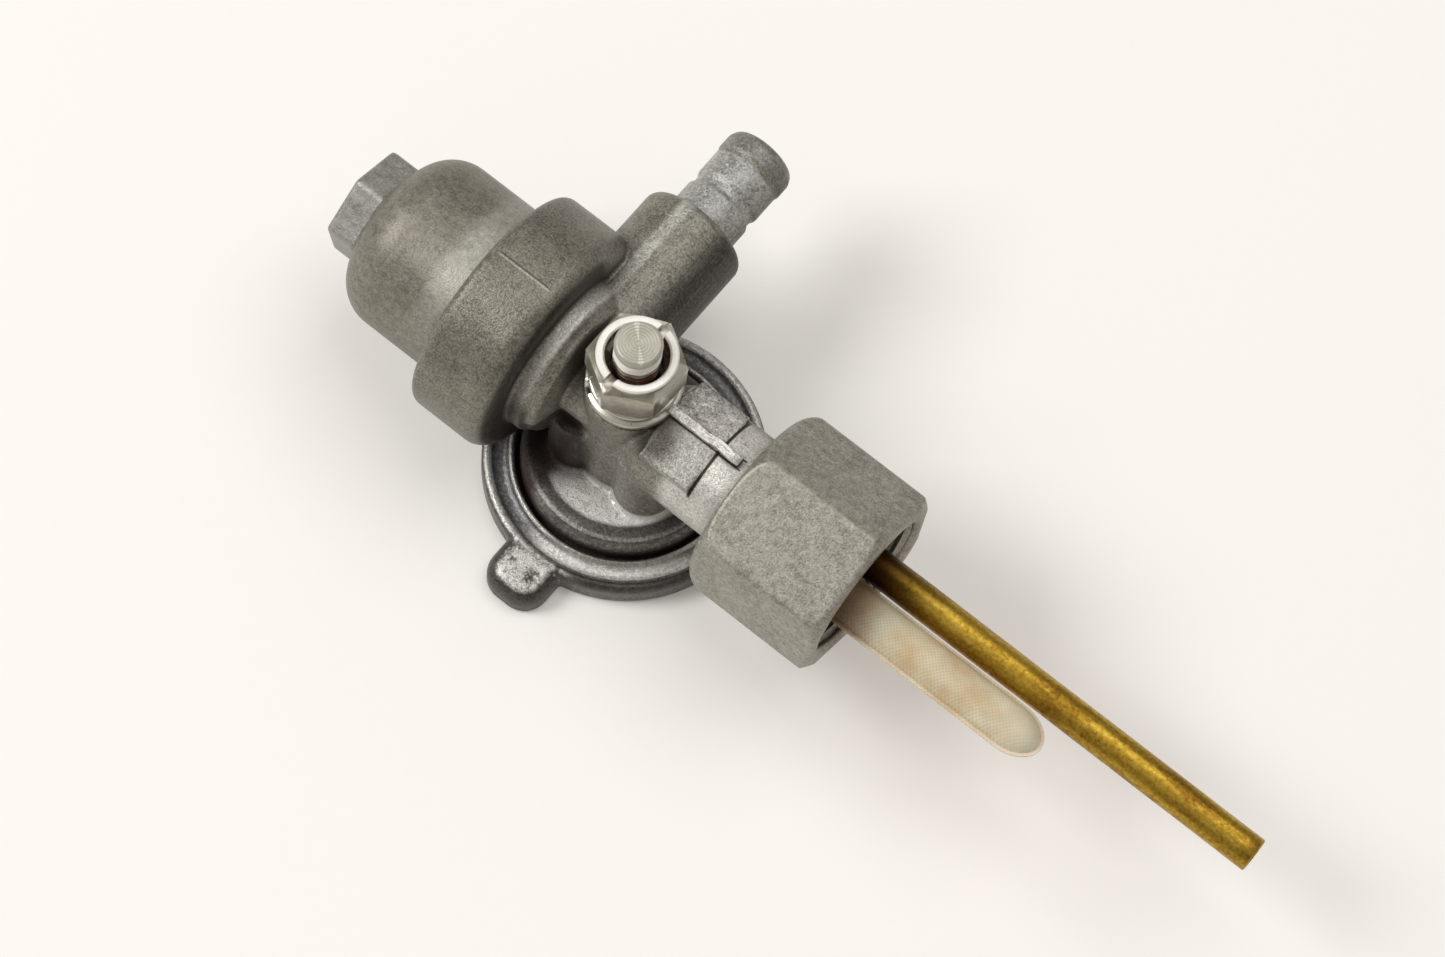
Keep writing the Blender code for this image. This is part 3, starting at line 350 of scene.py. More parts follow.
def plate_zones(finish):
    x, y, z = (finish.along(axis) for axis in "XYZ")
    radius = radius_about_z(finish)
    toward_lever = x * 0.36 - y * 0.93
    boss = span(z, 0.0066, 0.0175, 0.0008) * span(x, -0.0078, 0.0078, 0.0010)
    # A painted highlight line at the foot of the plate's rounding, and painted shade on its outer rounding
    highlight_line = below(z, 0.0056) * span(radius, 0.01000, 0.0104, 0.0001)
    shaded_outer_edge = below(z, 0.0054) * radius.between(0.0104, 0.0107)
    # A painted highlight on the near part of the plate, with bare-metal glitter
    bright = below(z, 0.0066) * toward_lever.between(0.0030, 0.0056) * radius.until(0.0084, 0.0090)
    return [
        (boss, (0.110, 0.100, 0.083), (0.270, 0.256, 0.222), 0.25),
        # Everything low on the plate is painted dark: painted shade under the body
        (below(z, 0.0062), (0.050, 0.044, 0.039), (0.130, 0.124, 0.114), 0.1),
        (highlight_line, (0.190, 0.184, 0.172), (0.420, 0.410, 0.385), 0.3),
        (shaded_outer_edge, (0.090, 0.075, 0.068), (0.180, 0.160, 0.148), 0.2),
        (bright, (0.720, 0.712, 0.680), (0.980, 0.975, 0.940), 1.0),
    ]


# %% Neck, with its pads and its ridge
def neck_zones(finish):
    x, y, z = (finish.along(axis) for axis in "XYZ")
    neck = span(x, 0.0082, 0.0153, 0.0009) * z.between(0.0145, 0.0175)
    patchy = finish.noise(0.0013, 2, 0.6, shift=(0.05, 0, 0)).between(0.40, 0.56)
    high = z.between(0.0212, 0.0216)
    upper_pad = span(x, 0.0044, 0.0111, 0.0001) * y.between(0.0005, 0.0007) * high * (patchy * 0.6 + 0.4)
    lower_pad = span(x, 0.0047, 0.0111, 0.0001) * y.until(-0.0007, -0.0005) * high
    # A painted shade in the corner where the neck meets the boss
    shade_by_boss = ball(finish, (0.0052, -0.0030, 0.0226), 0.0024, 0.0012)
    # Painted shade on the pads' end walls and in the gully beside the ridge
    ends = span(x, 0.0111, 0.01145, 0.00006) * y.until(0.0052, 0.0054)
    gully = span(y.math("ABSOLUTE"), 0.00048, 0.00068, 0.00005) * x.between(0.0044, 0.0050)
    pad_ends_shade = (ends + gully).math("MINIMUM", 1.0) * z.between(0.0205, 0.0210) * x.until(0.0140, 0.0142)
    ridge = span(y, -0.0007, 0.0007, 0.0001) * z.between(0.0240, 0.0242) * span(x, 0.0040, 0.0142, 0.0001)
    return [
        (neck, (0.380, 0.370, 0.335), (0.780, 0.765, 0.720), 0.35),
        (upper_pad, (0.220, 0.215, 0.195), (0.930, 0.920, 0.880), 1.0),
        (lower_pad, (0.230, 0.222, 0.200), (0.500, 0.490, 0.455), 0.2),
        (shade_by_boss, (0.040, 0.034, 0.028), (0.110, 0.100, 0.083), 0.05),
        (pad_ends_shade, (0.030, 0.020, 0.017), (0.055, 0.041, 0.034), 0.0),
        (ridge, (0.550, 0.540, 0.510), (0.860, 0.850, 0.810), 0.8),
    ]


# %% Ring beside the collar, and the hollow below it
def ring_zones(finish):
    x, y, z = (finish.along(axis) for axis in "XYZ")
    radius = radius_about_inlet(finish)
    # A painted highlight along the ring's crest, fading downward, with some worn bare metal
    crest = span(x, -0.0090, -0.0076, 0.0003) * z.between(0.0200, 0.0262)
    # The collar's flank, the ring's lower side and the hollow under the ring are painted dark: painted shade
    shaded_flank = span(x, -0.0108, -0.0090, 0.0003) * span(radius, 0.0091, 0.0124, 0.0004) * y.until(0.0060, 0.0080)
    foot = span(x, -0.0100, -0.0072, 0.0003) * z.until(0.0190, 0.0220) * span(radius, 0.0068, 0.0093, 0.0003)
    floor = span(x, -0.0088, -0.0044, 0.0007) * z.until(0.0058, 0.0062) * y.until(0.0010, 0.0030)
    from_left = x * 0.78 + y * 0.62 + z * 0.063
    sides = from_left.until(-0.0044, -0.0034) * x.between(-0.0092, -0.0086) * span(z, 0.0060, 0.0170)
    hollow = (floor + sides).math("MINIMUM", 1.0)
    # Painted shade in the corner by the bowl
    shade_by_bowl = ball(finish, (-0.0082, -0.0050, 0.0100), 0.0068, 0.0018)
    return [
        (crest, (0.330, 0.320, 0.285), (0.720, 0.710, 0.660), 0.5),
        (shaded_flank, (0.020, 0.015, 0.013), (0.065, 0.056, 0.047), 0.0),
        (foot, (0.036, 0.030, 0.026), (0.090, 0.080, 0.068), 0.0),
        (hollow, (0.024, 0.015, 0.015), (0.070, 0.050, 0.045), 0.02),
        (shade_by_bowl, (0.018, 0.011, 0.011), (0.060, 0.044, 0.038), 0.03),
    ]


# %% Outlet, and the lines that the mould left on the collar
def outlet_zones(finish):
    x, y = finish.along("X"), finish.along("Y")
    nozzle = span(y, 0.0198, 0.0275, 0.0002)
    # The outlet's side that turns away from the light is painted dark: painted shade
    shaded_side = span(y, 0.0050, 0.0300, 0.0015) * x.between(-0.0046, -0.0026)
    lines = finish.noise(0.0005, 2, 0.6, stretch=(1, 0.03, 1), shift=(0.03, 0, 0)).between(0.60, 0.66)
    scratches = lines * span(y, 0.0075, 0.0185, 0.0008) * x.between(-0.0080, -0.0060)
    return [
        (nozzle, (0.200, 0.203, 0.192), (0.480, 0.485, 0.465), 0.45),
        (y.between(0.0274, 0.0284), (0.130, 0.126, 0.112), (0.300, 0.295, 0.268), 0.2),
        (shaded_side, (0.028, 0.023, 0.020), (0.075, 0.068, 0.058), 0.05),
        (scratches, (0.070, 0.065, 0.055), (0.130, 0.120, 0.100), 0.0),
    ]


def parting_zones(finish):
    y = finish.along("Y")
    strip = span(finish.along("X"), -0.0176, -0.0112, 0.0004) * finish.along("Z").between(0.0290, 0.0295)
    # The mould line is painted as a small step: a lighter strip beside it as a painted highlight, and the
    # line dark as painted shade
    beside = span(y, -0.00036, -0.00012, 0.00005) * strip
    line = span(y, -0.00010, 0.00008, 0.00008) * strip
    return [
        (beside, (0.260, 0.250, 0.212), (0.420, 0.410, 0.362), 0.0),
        (line, (0.060, 0.052, 0.043), (0.110, 0.098, 0.083), 0.0),
    ]


# %% Make the casting's zinc
casting = zinc("Cast zinc", (0.125, 0.117, 0.094), (0.300, 0.290, 0.243), 0.44,
               (collar_zones, plate_zones, neck_zones, ring_zones, outlet_zones, parting_zones),
               glitter=0.10, dirt_and_shade=1.0, reach=0.0042, worn=0.04)

# %% [markdown]
# ## Zones of the lever disc
#
# Fingers turn the disc by its nub.  Light and shade are painted on its rim: painted highlights on the
# inner wall, the lip, the crest and the nub's top, a dark painted reflection in the band, a lit band and a
# shaded crest on the near side, and painted shade on the nub's sides.  The masks go by the distance from
# the spindle, because the disc is turned.


# %% Make the disc's zinc
def disc_zones(finish):
    y, z = finish.along("Y"), finish.along("Z")
    radius = radius_about_z(finish)
    near_side = (finish.along("X") * 0.55 - y * 0.83).between(0.0085, 0.0118)
    # Painted light on the dish's inner wall, away from the near side
    wall = z.between(0.0017, 0.0020) * span(radius, 0.0110, 0.0119, 0.0001) * (1 - near_side)
    # The band is painted dark, a painted reflection of the room; the lip and the crest carry painted
    # highlights
    band = z.between(0.0027, 0.0029) * span(radius, 0.0122, 0.0141, 0.0001)
    lip = z.between(0.00340, 0.00352) * radius.until(0.0123, 0.0125) * (1 - near_side * 0.8)
    crest = z.between(0.0031, 0.0033) * radius.between(0.01395, 0.01415)
    # On the near side the crest is painted shaded and the band carries a painted reflection of the light
    near_crest_shade = near_side * radius.between(0.0139, 0.0142) * z.between(0.0022, 0.0026)
    near_band_highlight = near_side * z.between(0.0026, 0.0028) \
        * radius.between(0.0118, 0.0128) * radius.until(0.01365, 0.01395)
    # Painted shade on the nub's sides, and a painted highlight with worn patches on its top
    nub_sides = y.until(-0.0156, -0.0150) * z.until(0.0028, 0.0032)
    patchy = finish.noise(0.0016, 3, 0.7).between(0.30, 0.52)
    nub_top = y.until(-0.0146, -0.0138) * z.between(0.00310, 0.00350) * patchy
    return [
        (wall, (0.300, 0.290, 0.275), (0.560, 0.545, 0.520), 0.6),
        (band, (0.072, 0.071, 0.074), (0.150, 0.148, 0.150), 0.15),
        (lip, (0.330, 0.325, 0.305), (0.700, 0.695, 0.660), 0.6),
        (crest, (0.260, 0.255, 0.240), (0.640, 0.635, 0.600), 0.5),
        (near_crest_shade, (0.040, 0.034, 0.031), (0.105, 0.094, 0.086), 0.0),
        (near_band_highlight, (0.400, 0.394, 0.368), (0.760, 0.750, 0.710), 0.6),
        (nub_sides, (0.042, 0.036, 0.034), (0.110, 0.100, 0.092), 0.0),
        (nub_top, (0.240, 0.235, 0.220), (0.760, 0.750, 0.710), 0.9),
    ]


disc_zinc = zinc("Lever zinc", (0.058, 0.049, 0.042), (0.150, 0.137, 0.122), 0.38, (disc_zones,),
                 glitter=0.12, dirt_and_shade=0.75, reach=0.0016, worn=0.4, grain=0.00010)

# %% [markdown]
# ## The dull zinc of nut and bowl
#
# Nobody handles the union nut and the bowl, so their zinc is even and matte.  Both share one finish:
# the ground is the nut's, and zones to the left of the collar make it darker for the bowl, with a painted
# highlight on the bowl beside the collar.


# %% Make the dull zinc
def bowl_zones(finish):
    x, z = finish.along("X"), finish.along("Z")
    # A painted highlight on the bowl beside the collar
    collar_highlight_on_bowl = span(x, -0.0222, -0.0186, 0.0010) * z.between(0.0180, 0.0270)
    return [
        (x.until(-0.0126, -0.0120), (0.120, 0.112, 0.091), (0.320, 0.305, 0.256), 0.0),
        (collar_highlight_on_bowl, (0.245, 0.237, 0.202), (0.480, 0.469, 0.416), 0.1),
        (x.until(-0.0327, -0.0323), (0.190, 0.186, 0.172), (0.420, 0.414, 0.390), 0.1),
    ]


dull_zinc = zinc("Dull zinc", (0.185, 0.176, 0.145), (0.440, 0.427, 0.372), 0.48, (bowl_zones,),
                 glitter=0.03, dirt_and_shade=0.8, reach=0.0016, worn=0.06, grain=0.00009, speckle=1.0, mottle=0.35)

# %% [markdown]
# ## Plated steel
#
# The nut, its washers and the stud are zinc-plated steel.  What faces up is bright: the ring on the nut's
# top is a painted highlight.  The flats mirror the darker room, and some rust has crept out of the thread,
# so the recess round the stud is brown.


# %% Plated steel
def plated_steel():
    finish = Finish("Plated steel", metallic=0.7)
    cloud = finish.noise(0.0016, 3)
    spots = finish.noise(0.0005, 3, 0.6, shift=(0.02, 0, 0))
    height = finish.along("Z")
    # The ring on top is painted bright and less metallic: a painted highlight
    ring = height.between(0.03085, 0.03105)
    tip = height.between(0.0325, 0.0334)
    shade = cloud * 0.7 + spots * 0.3
    colour = finish.ramp(shade, [(0.3, (0.27, 0.25, 0.19)), (0.7, (0.48, 0.465, 0.39))])
    for place, deep, pale in ((ring, (0.80, 0.785, 0.73), (0.94, 0.93, 0.89)),
                              (tip, (0.36, 0.35, 0.28), (0.50, 0.49, 0.42))):
        colour = finish.mix(place, colour, finish.ramp(shade, [(0.3, deep), (0.7, pale)]))
    rust = (finish.hollow(0.0016) * (spots * 1.3 + 0.4)).between(0.34, 0.74)
    colour = finish.mix(rust * 0.9, colour, (0.150, 0.048, 0.020))
    edges = finish.corner(0.53, 0.62)
    colour = finish.mix(edges * 0.6, colour, (0.86, 0.85, 0.80))
    rough = cloud * 0.2 + 0.20 + rust * 0.4 + ring * 0.12
    return finish.use(Base_Color=colour, Roughness=rough, Metallic=0.7 - ring * 0.45,
                      Normal=finish.bump(shade, 0.00005, 0.6))


plated = plated_steel()
print("plated steel has", len(plated.tree.nodes), "nodes")

# %% [markdown]
# ## Aged brass
#
# The pipe was drawn through a die, so its stains lie in streaks along it, and the end inside the nut is
# dark with old fuel.  Noise that is stretched along the pipe gives the streaks.


# %% Aged brass
def aged_brass():
    finish = Finish("Aged brass", metallic=0.95)
    streaks = finish.noise(0.0018, 4, 0.6, stretch=(0.10, 1, 1))
    blotches = finish.noise(0.0035, 3, 0.6, stretch=(0.4, 1, 1), shift=(0.02, 0, 0))
    spots = finish.noise(0.0004, 3, 0.7)
    tone = streaks * 0.6 + blotches * 0.4 + (spots - 0.5) * 0.6
    colour = finish.ramp(tone, [(0.30, (0.160, 0.070, 0.009)), (0.46, (0.330, 0.190, 0.020)),
                                (0.60, (0.480, 0.320, 0.042)), (0.76, (0.600, 0.460, 0.140))])
    tarnish = finish.along("X").until(0.0305, 0.0410)
    colour = finish.mix(tarnish * 0.97, colour, (0.055, 0.022, 0.004))
    rough = 0.28 + (1 - tone) * 0.24
    return finish.use(Base_Color=colour, Roughness=rough, Normal=finish.bump(tone, 0.00003, 0.5))


brass = aged_brass()
print("aged brass has", len(brass.tree.nodes), "nodes")

# %% [markdown]
# ## Gauze and the inner finishes
#
# The strainer is nylon gauze, stained by fuel near the nut.  Its threads are far too fine to model, so
# two crossed sine waves stand for them.  The pieces inside are hardly seen and have plain finishes.

# %% Gauze
WEAVE_PITCH = 0.00044            # two threads of the gauze


def woven_gauze():
    finish = Finish("Gauze", roughness=0.6, Subsurface_Weight=0.3, Subsurface_Scale=0.002)
    warp = (finish.along("X") * (2 * pi / WEAVE_PITCH)).math("SINE")
    weft = (finish.along("Y") * (2 * pi / WEAVE_PITCH)).math("SINE")
    weave = warp * weft * 0.5 + 0.5
    cloud = finish.noise(0.004, 3)
    colour = finish.ramp(cloud, [(0.32, (0.72, 0.53, 0.32)), (0.65, (0.93, 0.81, 0.62))])
    colour = finish.mix(weave.between(0.35, 0.75) * 0.28, colour, (0.50, 0.36, 0.20))
    stain = finish.along("X").until(0.0302, 0.0350)
    colour = finish.mix(stain * 0.85, colour, (0.120, 0.062, 0.018))
    colour = finish.mix(finish.along("X").between(0.0480, 0.0540) * 0.6, colour, (0.97, 0.88, 0.72))
    return finish.use(Base_Color=colour, Alpha=0.80 - cloud * 0.10, Normal=finish.bump(weave, 0.00005, 0.7))


gauze = woven_gauze()
print("gauze has", len(gauze.tree.nodes), "nodes")


# %% Nylon, rubber and fibre
def plain_finish(name, first, second, roughness, size=0.0012):
    finish = Finish(name)
    cloud = finish.noise(size, 3)
    colour = finish.ramp(cloud, [(0.3, first), (0.7, second)])
    return finish.use(Base_Color=colour, Roughness=cloud * 0.2 + roughness - 0.1,
                      Normal=finish.bump(cloud, 0.00004, 0.6))


nylon = plain_finish("Nylon", (0.76, 0.64, 0.46), (0.86, 0.76, 0.60), 0.5)
rubber = plain_finish("Black rubber", (0.018, 0.018, 0.018), (0.035, 0.034, 0.033), 0.7)
fibre = plain_finish("Fibre", (0.10, 0.035, 0.02), (0.20, 0.08, 0.045), 0.8, 0.0005)
FINISHES = {"casting": casting, "disc_zinc": disc_zinc, "dull_zinc": dull_zinc, "plated": plated,
            "brass": brass, "gauze": gauze, "nylon": nylon, "rubber": rubber, "fibre": fibre}
print("finishes:", sorted(item.material.name for item in FINISHES.values()))

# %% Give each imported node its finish
for part in frame["record"]["subparts"]:
    node = frame["nodes"][part["node"]]
    node.data.materials.clear()
    node.data.materials.append(FINISHES[part["material_slot"]].material)

# %% [markdown]
# ## Tools of the bench
#
# An operator works on everything that is selected, so each step begins by selecting one thing only.
# Turned pieces are drawn as half of their section, one point extruded after the other, and then spun.


# %% Select one piece, and apply what was done to it
def only(*items):
    if bpy.context.object and bpy.context.object.mode != "OBJECT":
        bpy.ops.object.mode_set(mode="OBJECT")
    bpy.ops.object.select_all(action="DESELECT")
    for item in items:
        item.select_set(True)
    bpy.context.view_layer.objects.active = items[0]


def edit(item):
    """Opens one piece for editing, with everything on it selected."""
    only(item)
    bpy.ops.object.mode_set(mode="EDIT")
    bpy.ops.mesh.select_all(action="SELECT")


def apply_modifiers(item):
    only(item)
    for modifier in list(item.modifiers):
        bpy.ops.object.modifier_apply(modifier=modifier.name)


def settle(item):
    """Puts the piece's place into its mesh, so that its object stands at the origin."""
    only(item)
    bpy.ops.object.transform_apply(location=True, rotation=True, scale=True)


# %% Draw and spin a section
MERGED = 0.000001                # points nearer than this are one


def turned(name, section, steps=96, closed=False, angle=2 * pi):
    """Spins a section of (radius, station) points about Z."""
    bpy.ops.object.select_all(action="DESELECT")
    bpy.ops.mesh.primitive_plane_add(size=0.001)
    item = bpy.context.object
    item.name = name
    bpy.ops.object.mode_set(mode="EDIT")
    bpy.ops.mesh.select_mode(type="VERT")
    bpy.ops.mesh.select_all(action="SELECT")
    bpy.ops.mesh.merge(type="CENTER")
    here = Vector((section[0][0], 0, section[0][1]))
    bpy.ops.transform.translate(value=here)
    points = list(section[1:]) + ([section[0]] if closed else [])
    for radius, station in points:
        there = Vector((radius, 0, station))
        bpy.ops.mesh.extrude_vertices_move(TRANSFORM_OT_translate={"value": there - here})
        here = there
    bpy.ops.mesh.select_all(action="SELECT")
    if closed:
        bpy.ops.mesh.remove_doubles(threshold=MERGED)
    bpy.ops.mesh.spin(steps=steps, angle=angle, center=(0, 0, 0), axis=(0, 0, 1))
    bpy.ops.mesh.select_all(action="SELECT")
    bpy.ops.mesh.remove_doubles(threshold=MERGED)
    bpy.ops.mesh.normals_make_consistent(inside=False)
    bpy.ops.object.mode_set(mode="OBJECT")
    return item


def rod(name, radius, top, foot, steps):
    """A plain round bar along Z."""
    return turned(name, [(0, top), (radius, top), (radius, foot), (0, foot)], steps)


def arc(radius, station, size, start, end, count=6, stretch=1.0):
    """Points of a rounded corner, angles in degrees from straight outward."""
    points = []
    for index in range(count + 1):
        angle = radians(start + (end - start) * index / count)
        points.append((radius + size * cos(angle), station + size * stretch * sin(angle)))
    return points


# %% Put a piece in its place
ALONG_X = Matrix.Rotation(pi / 2, 4, "Y")
ALONG_Y = Matrix.Rotation(-pi / 2, 4, "X")


def stand(item, place=(0, 0, 0), turn=Matrix.Identity(4)):
    """Moves a finished piece to its place and writes that into the mesh."""
    item.matrix_world = Matrix.Translation(place) @ turn
    settle(item)
    return item


def bar(name, low, high):
    """A box between two corners."""
    bpy.ops.object.select_all(action="DESELECT")
    low, high = Vector(low), Vector(high)
    bpy.ops.mesh.primitive_cube_add(size=1, location=(low + high) / 2, scale=high - low)
    item = bpy.context.object
    item.name = name
    settle(item)
    return item


# %% Cut a piece and soften its edges
def combine(item, tool, operation):
    """Joins, cuts or trims a piece with a tool, which is then thrown away."""
    modifier = item.modifiers.new(operation.title(), "BOOLEAN")
    modifier.operation = operation
    modifier.object = tool
    modifier.solver = "EXACT"
    apply_modifiers(item)
    bpy.data.objects.remove(tool, do_unlink=True)


def soften(item, width, segments=2, angle=35):
    """Rounds every edge that is sharper than the angle."""
    modifier = item.modifiers.new("Soft edges", "BEVEL")
    modifier.width = width
    modifier.segments = segments
    modifier.limit_method = "ANGLE"
    modifier.angle_limit = radians(angle)
    modifier.use_clamp_overlap = True
    apply_modifiers(item)


def smooth(item, angle=40):
    only(item)
    bpy.ops.object.shade_smooth_by_angle(angle=radians(angle))


# %% Melt, thin out and dress a piece
def cast_skin(item, voxel, passes):
    """Melts joined shapes into one skin with small fillets, as a casting has."""
    remesh = item.modifiers.new("Skin", "REMESH")
    remesh.mode = "VOXEL"
    remesh.voxel_size = voxel
    ease = item.modifiers.new("Fillets", "SMOOTH")
    ease.factor = 0.5
    ease.iterations = passes
    apply_modifiers(item)


def triangles(item):
    item.data.calc_loop_triangles()
    return len(item.data.loop_triangles)


def thin_out(item, most=190000):
    """Takes away the triangles that a flat place doesn't need, down to a number."""
    if triangles(item) > most:
        thin = item.modifiers.new("Thin", "DECIMATE")
        thin.ratio = most / triangles(item)
        apply_modifiers(item)


def done(item, slot, body, *nodes):
    """Gives a piece its finish and its body, and hides the nodes that it stands for."""
    item.data.materials.clear()
    item.data.materials.append(FINISHES[slot].material)
    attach(item, body)
    if nodes:
        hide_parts(*nodes)
    print(item.name, "has", triangles(item), "triangles")
    return item


# %% [markdown]
# ## The casting
#
# A casting has no sharp inner corners: where the neck meets the boss or the outlet leaves the collar,
# the metal flows round in a small fillet.  So the body starts as plain turned and boxed shapes that
# run into each other.  They are melted into one skin, which rounds every corner a little, and the
# machined holes are cut afterwards, which leaves their edges crisp.

# %% Turn the collar, the neck and the outlet
OUTLET_X = -0.0072
NECK_R = 0.00615

section = [(0, 0.0216), (0.0072, 0.0216), (0.0077, 0.0211), (0.0077, 0.0155), (NECK_R, 0.0150)]
section += [(NECK_R, 0.0048), (0.0046, 0.0027), (0.0046, -0.0055)]
section += arc(0.0075, -0.0069, 0.0007, 90, 0, 4) + arc(0.0082, -0.0080, 0.0007, 60, 0, 4)
section += [(0.0089, -0.0094)] + arc(0.01105, -0.0115, 0.0021, 90, 0, 10)
section += arc(0.01215, -0.0177, 0.0010, 0, -90, 6) + [(0, -0.0187)]
body_casting = stand(turned("body_casting", section, 160), (0, 0, AXIS), ALONG_X)

section = [(0, 0.0307)] + arc(0.0033, 0.0301, 0.0006, 90, 0, 5)
section += [(0.00405, 0.0299), (0.00405, 0.0283), (0.0039, 0.0281), (0.0039, 0.0246), (0.0036, 0.0243)]
section += [(0.0036, 0.0233), (0.0039, 0.0230), (0.0039, 0.0196)] + arc(0.0051, 0.0186, 0.0010, 90, 0, 6)
section += [(0.0061, 0), (0, 0)]
outlet = stand(turned("outlet", section, 128), (OUTLET_X, 0, AXIS), ALONG_Y)
print("body and outlet:", triangles(body_casting), "and", triangles(outlet), "triangles")

# %% Turn the valve plate, the boss and its four passages
PASSAGE_X, PORT_Y = 0.00436, 0.00245     # the four passages, and the two ports of the inlet

section = [(0, 0.0057)] + arc(0.0095, 0.0041, 0.0016, 90, 0, 8) + [(0.0111, 0.0026), (0, 0.0026)]
plate = turned("plate", section, 160)
boss = rod("boss", 0.0050, 0.0229, 0.0040, 96)
passages = []
for x, top in ((PASSAGE_X, 0.0170), (-PASSAGE_X, 0.0150)):
    for y in (PORT_Y, -PORT_Y):
        section = [(0, top), (0.0029, top), (0.0033, top - 0.0004), (0.0033, 0.0040), (0, 0.0040)]
        passages.append(stand(turned("passage", section, 48), (x, y, 0)))
print(len(passages), "passages round the boss")

# %% Add the two pads on the neck
PAD_SLOPE, PAD_LOW, PAD_HIGH, PAD_WIDTH = radians(22), 0.0048, 0.0111, 0.0052
CROWN = NECK_R / cos(PAD_SLOPE)
pads = []
for left, right in ((0, PAD_WIDTH), (-PAD_WIDTH, 0)):
    pad = bar("pad", (PAD_LOW, left, AXIS), (PAD_HIGH, right, AXIS + CROWN))
    for vert in pad.data.vertices:
        if vert.co.z > AXIS + 0.001:
            vert.co.z -= abs(vert.co.y) * tan(PAD_SLOPE)
    pads.append(pad)
print("pads meet", round(1000 * CROWN, 2), "mm above the inlet's axis")

# %% Melt all of it into one skin
only(body_casting, outlet, plate, boss, *passages, *pads)
bpy.ops.object.join()
cast_skin(body_casting, 0.00019, 2)
print("melted skin:", len(body_casting.data.polygons), "faces")


# %% Let the metal flow round the passages, and leave the upper pad rough
def near_passages(place):
    """True between the valve plate and the tops of the passages."""
    return abs(place.x) < 0.0088 and abs(place.y) < 0.0082 and 0.0047 < place.z < 0.0158


flow = body_casting.vertex_groups.new(name="flow")
flow.add([vert.index for vert in body_casting.data.vertices if near_passages(vert.co)], 1.0, "REPLACE")
ease = body_casting.modifiers.new("Flow", "SMOOTH")
ease.vertex_group = "flow"
ease.iterations = 14
apply_modifiers(body_casting)
for vert in body_casting.data.vertices:
    place = vert.co
    up = place.z - AXIS
    if 0.0046 < place.x < 0.0113 and 0.0007 < place.y < 0.0052 and up > 0.0035:
        rough = noise.noise(place * 1900) * 0.6 + noise.noise(place * 4100 + Vector((3, 1, 2))) * 0.4
        vert.co.z += 0.00022 * rough - 0.00004
print("flow takes in", sum(near_passages(vert.co) for vert in body_casting.data.vertices), "points")

# %% Drill it
holes = [
    stand(rod("collar_socket", 0.01025, -0.0112, -0.0190, 160), (0, 0, AXIS), ALONG_X),
    stand(rod("pipe_socket", 0.00218, 0.0220, 0.0154, 48), (0, PORT_Y, AXIS), ALONG_X),
    stand(rod("strainer_socket", 0.0022, 0.0220, 0.0164, 48), (0, -PORT_Y, AXIS), ALONG_X),
    stand(rod("outlet_bore", 0.0021, 0.0312, 0.0040, 64), (OUTLET_X, 0, AXIS), ALONG_Y),
    turned("spindle_bore", [(0, 0.0234), (0.0028, 0.0234), (0.0028, 0.0033),
                            (0.0083, 0.0033), (0.0083, 0.0020), (0, 0.0020)], 96),
]
only(*holes)
bpy.ops.object.join()
combine(body_casting, holes[0], "DIFFERENCE")
thin_out(body_casting)
smooth(body_casting, 50)
done(body_casting, "casting", "body", "tap_body")

# %% Lay the chipped ridge along the neck
ridge = bar("mould_ridge", (0.0044, -0.0005, AXIS + 0.0055), (0.0137, 0.0005, AXIS + CROWN + 0.00045))
edit(ridge)
bpy.ops.mesh.subdivide(number_cuts=12)
bpy.ops.object.mode_set(mode="OBJECT")
soften(ridge, 0.00012, 2)
for vert in ridge.data.vertices:
    place = vert.co
    chip = noise.noise(Vector((place.x * 700, 0, 1))) + 0.5 * noise.noise(place * 2600)
    if place.z > AXIS + CROWN:
        vert.co.z += 0.00013 * chip - 0.0004 * max(0, place.x - 0.0128) / 0.0009
    vert.co.y += 0.00018 * noise.noise(Vector((place.x * 500, 3, place.z * 300)))
smooth(ridge, 50)
done(ridge, "casting", "body")

# %% [markdown]
# ## The lever disc
#
# The disc is a shallow dish with a raised lip, and its lever is a rounded nub on the rim.  The dish is
# spun, the nub starts as a cube with its far corners rounded and its top edge eased, and the two are
# melted together so that the rim runs into the nub in a fillet.

# %% Spin the dish
DISC_R = 0.0151
section = [(0, 0.0006), (0.0028, 0.0006), (0.0028, 0.0027), (0.0034, 0.0027), (0.0034, 0.0015)]
section += [(0.01125, 0.0015), (0.01142, 0.00168), (0.01152, 0.0021), (0.01163, 0.0030)]
section += [(0.0117, 0.00345), (0.01185, 0.00362), (0.0120, 0.0037), (0.0121, 0.00366), (0.0123, 0.0034)]
section += [(0.01255, 0.00315), (0.0130, 0.0030), (0.0135, 0.00296), (0.01385, 0.00306), (0.01405, 0.00328)]
section += arc(DISC_R - 0.0007, 0.0034 - 0.0007, 0.0007, 90, 0, 5)
section += arc(DISC_R - 0.00045, 0.00045, 0.00045, 0, -90, 3)
section += [(0, 0)]
lever_disc = turned("lever_disc", section, 160)
print("disc is", round(2000 * DISC_R, 1), "mm wide")

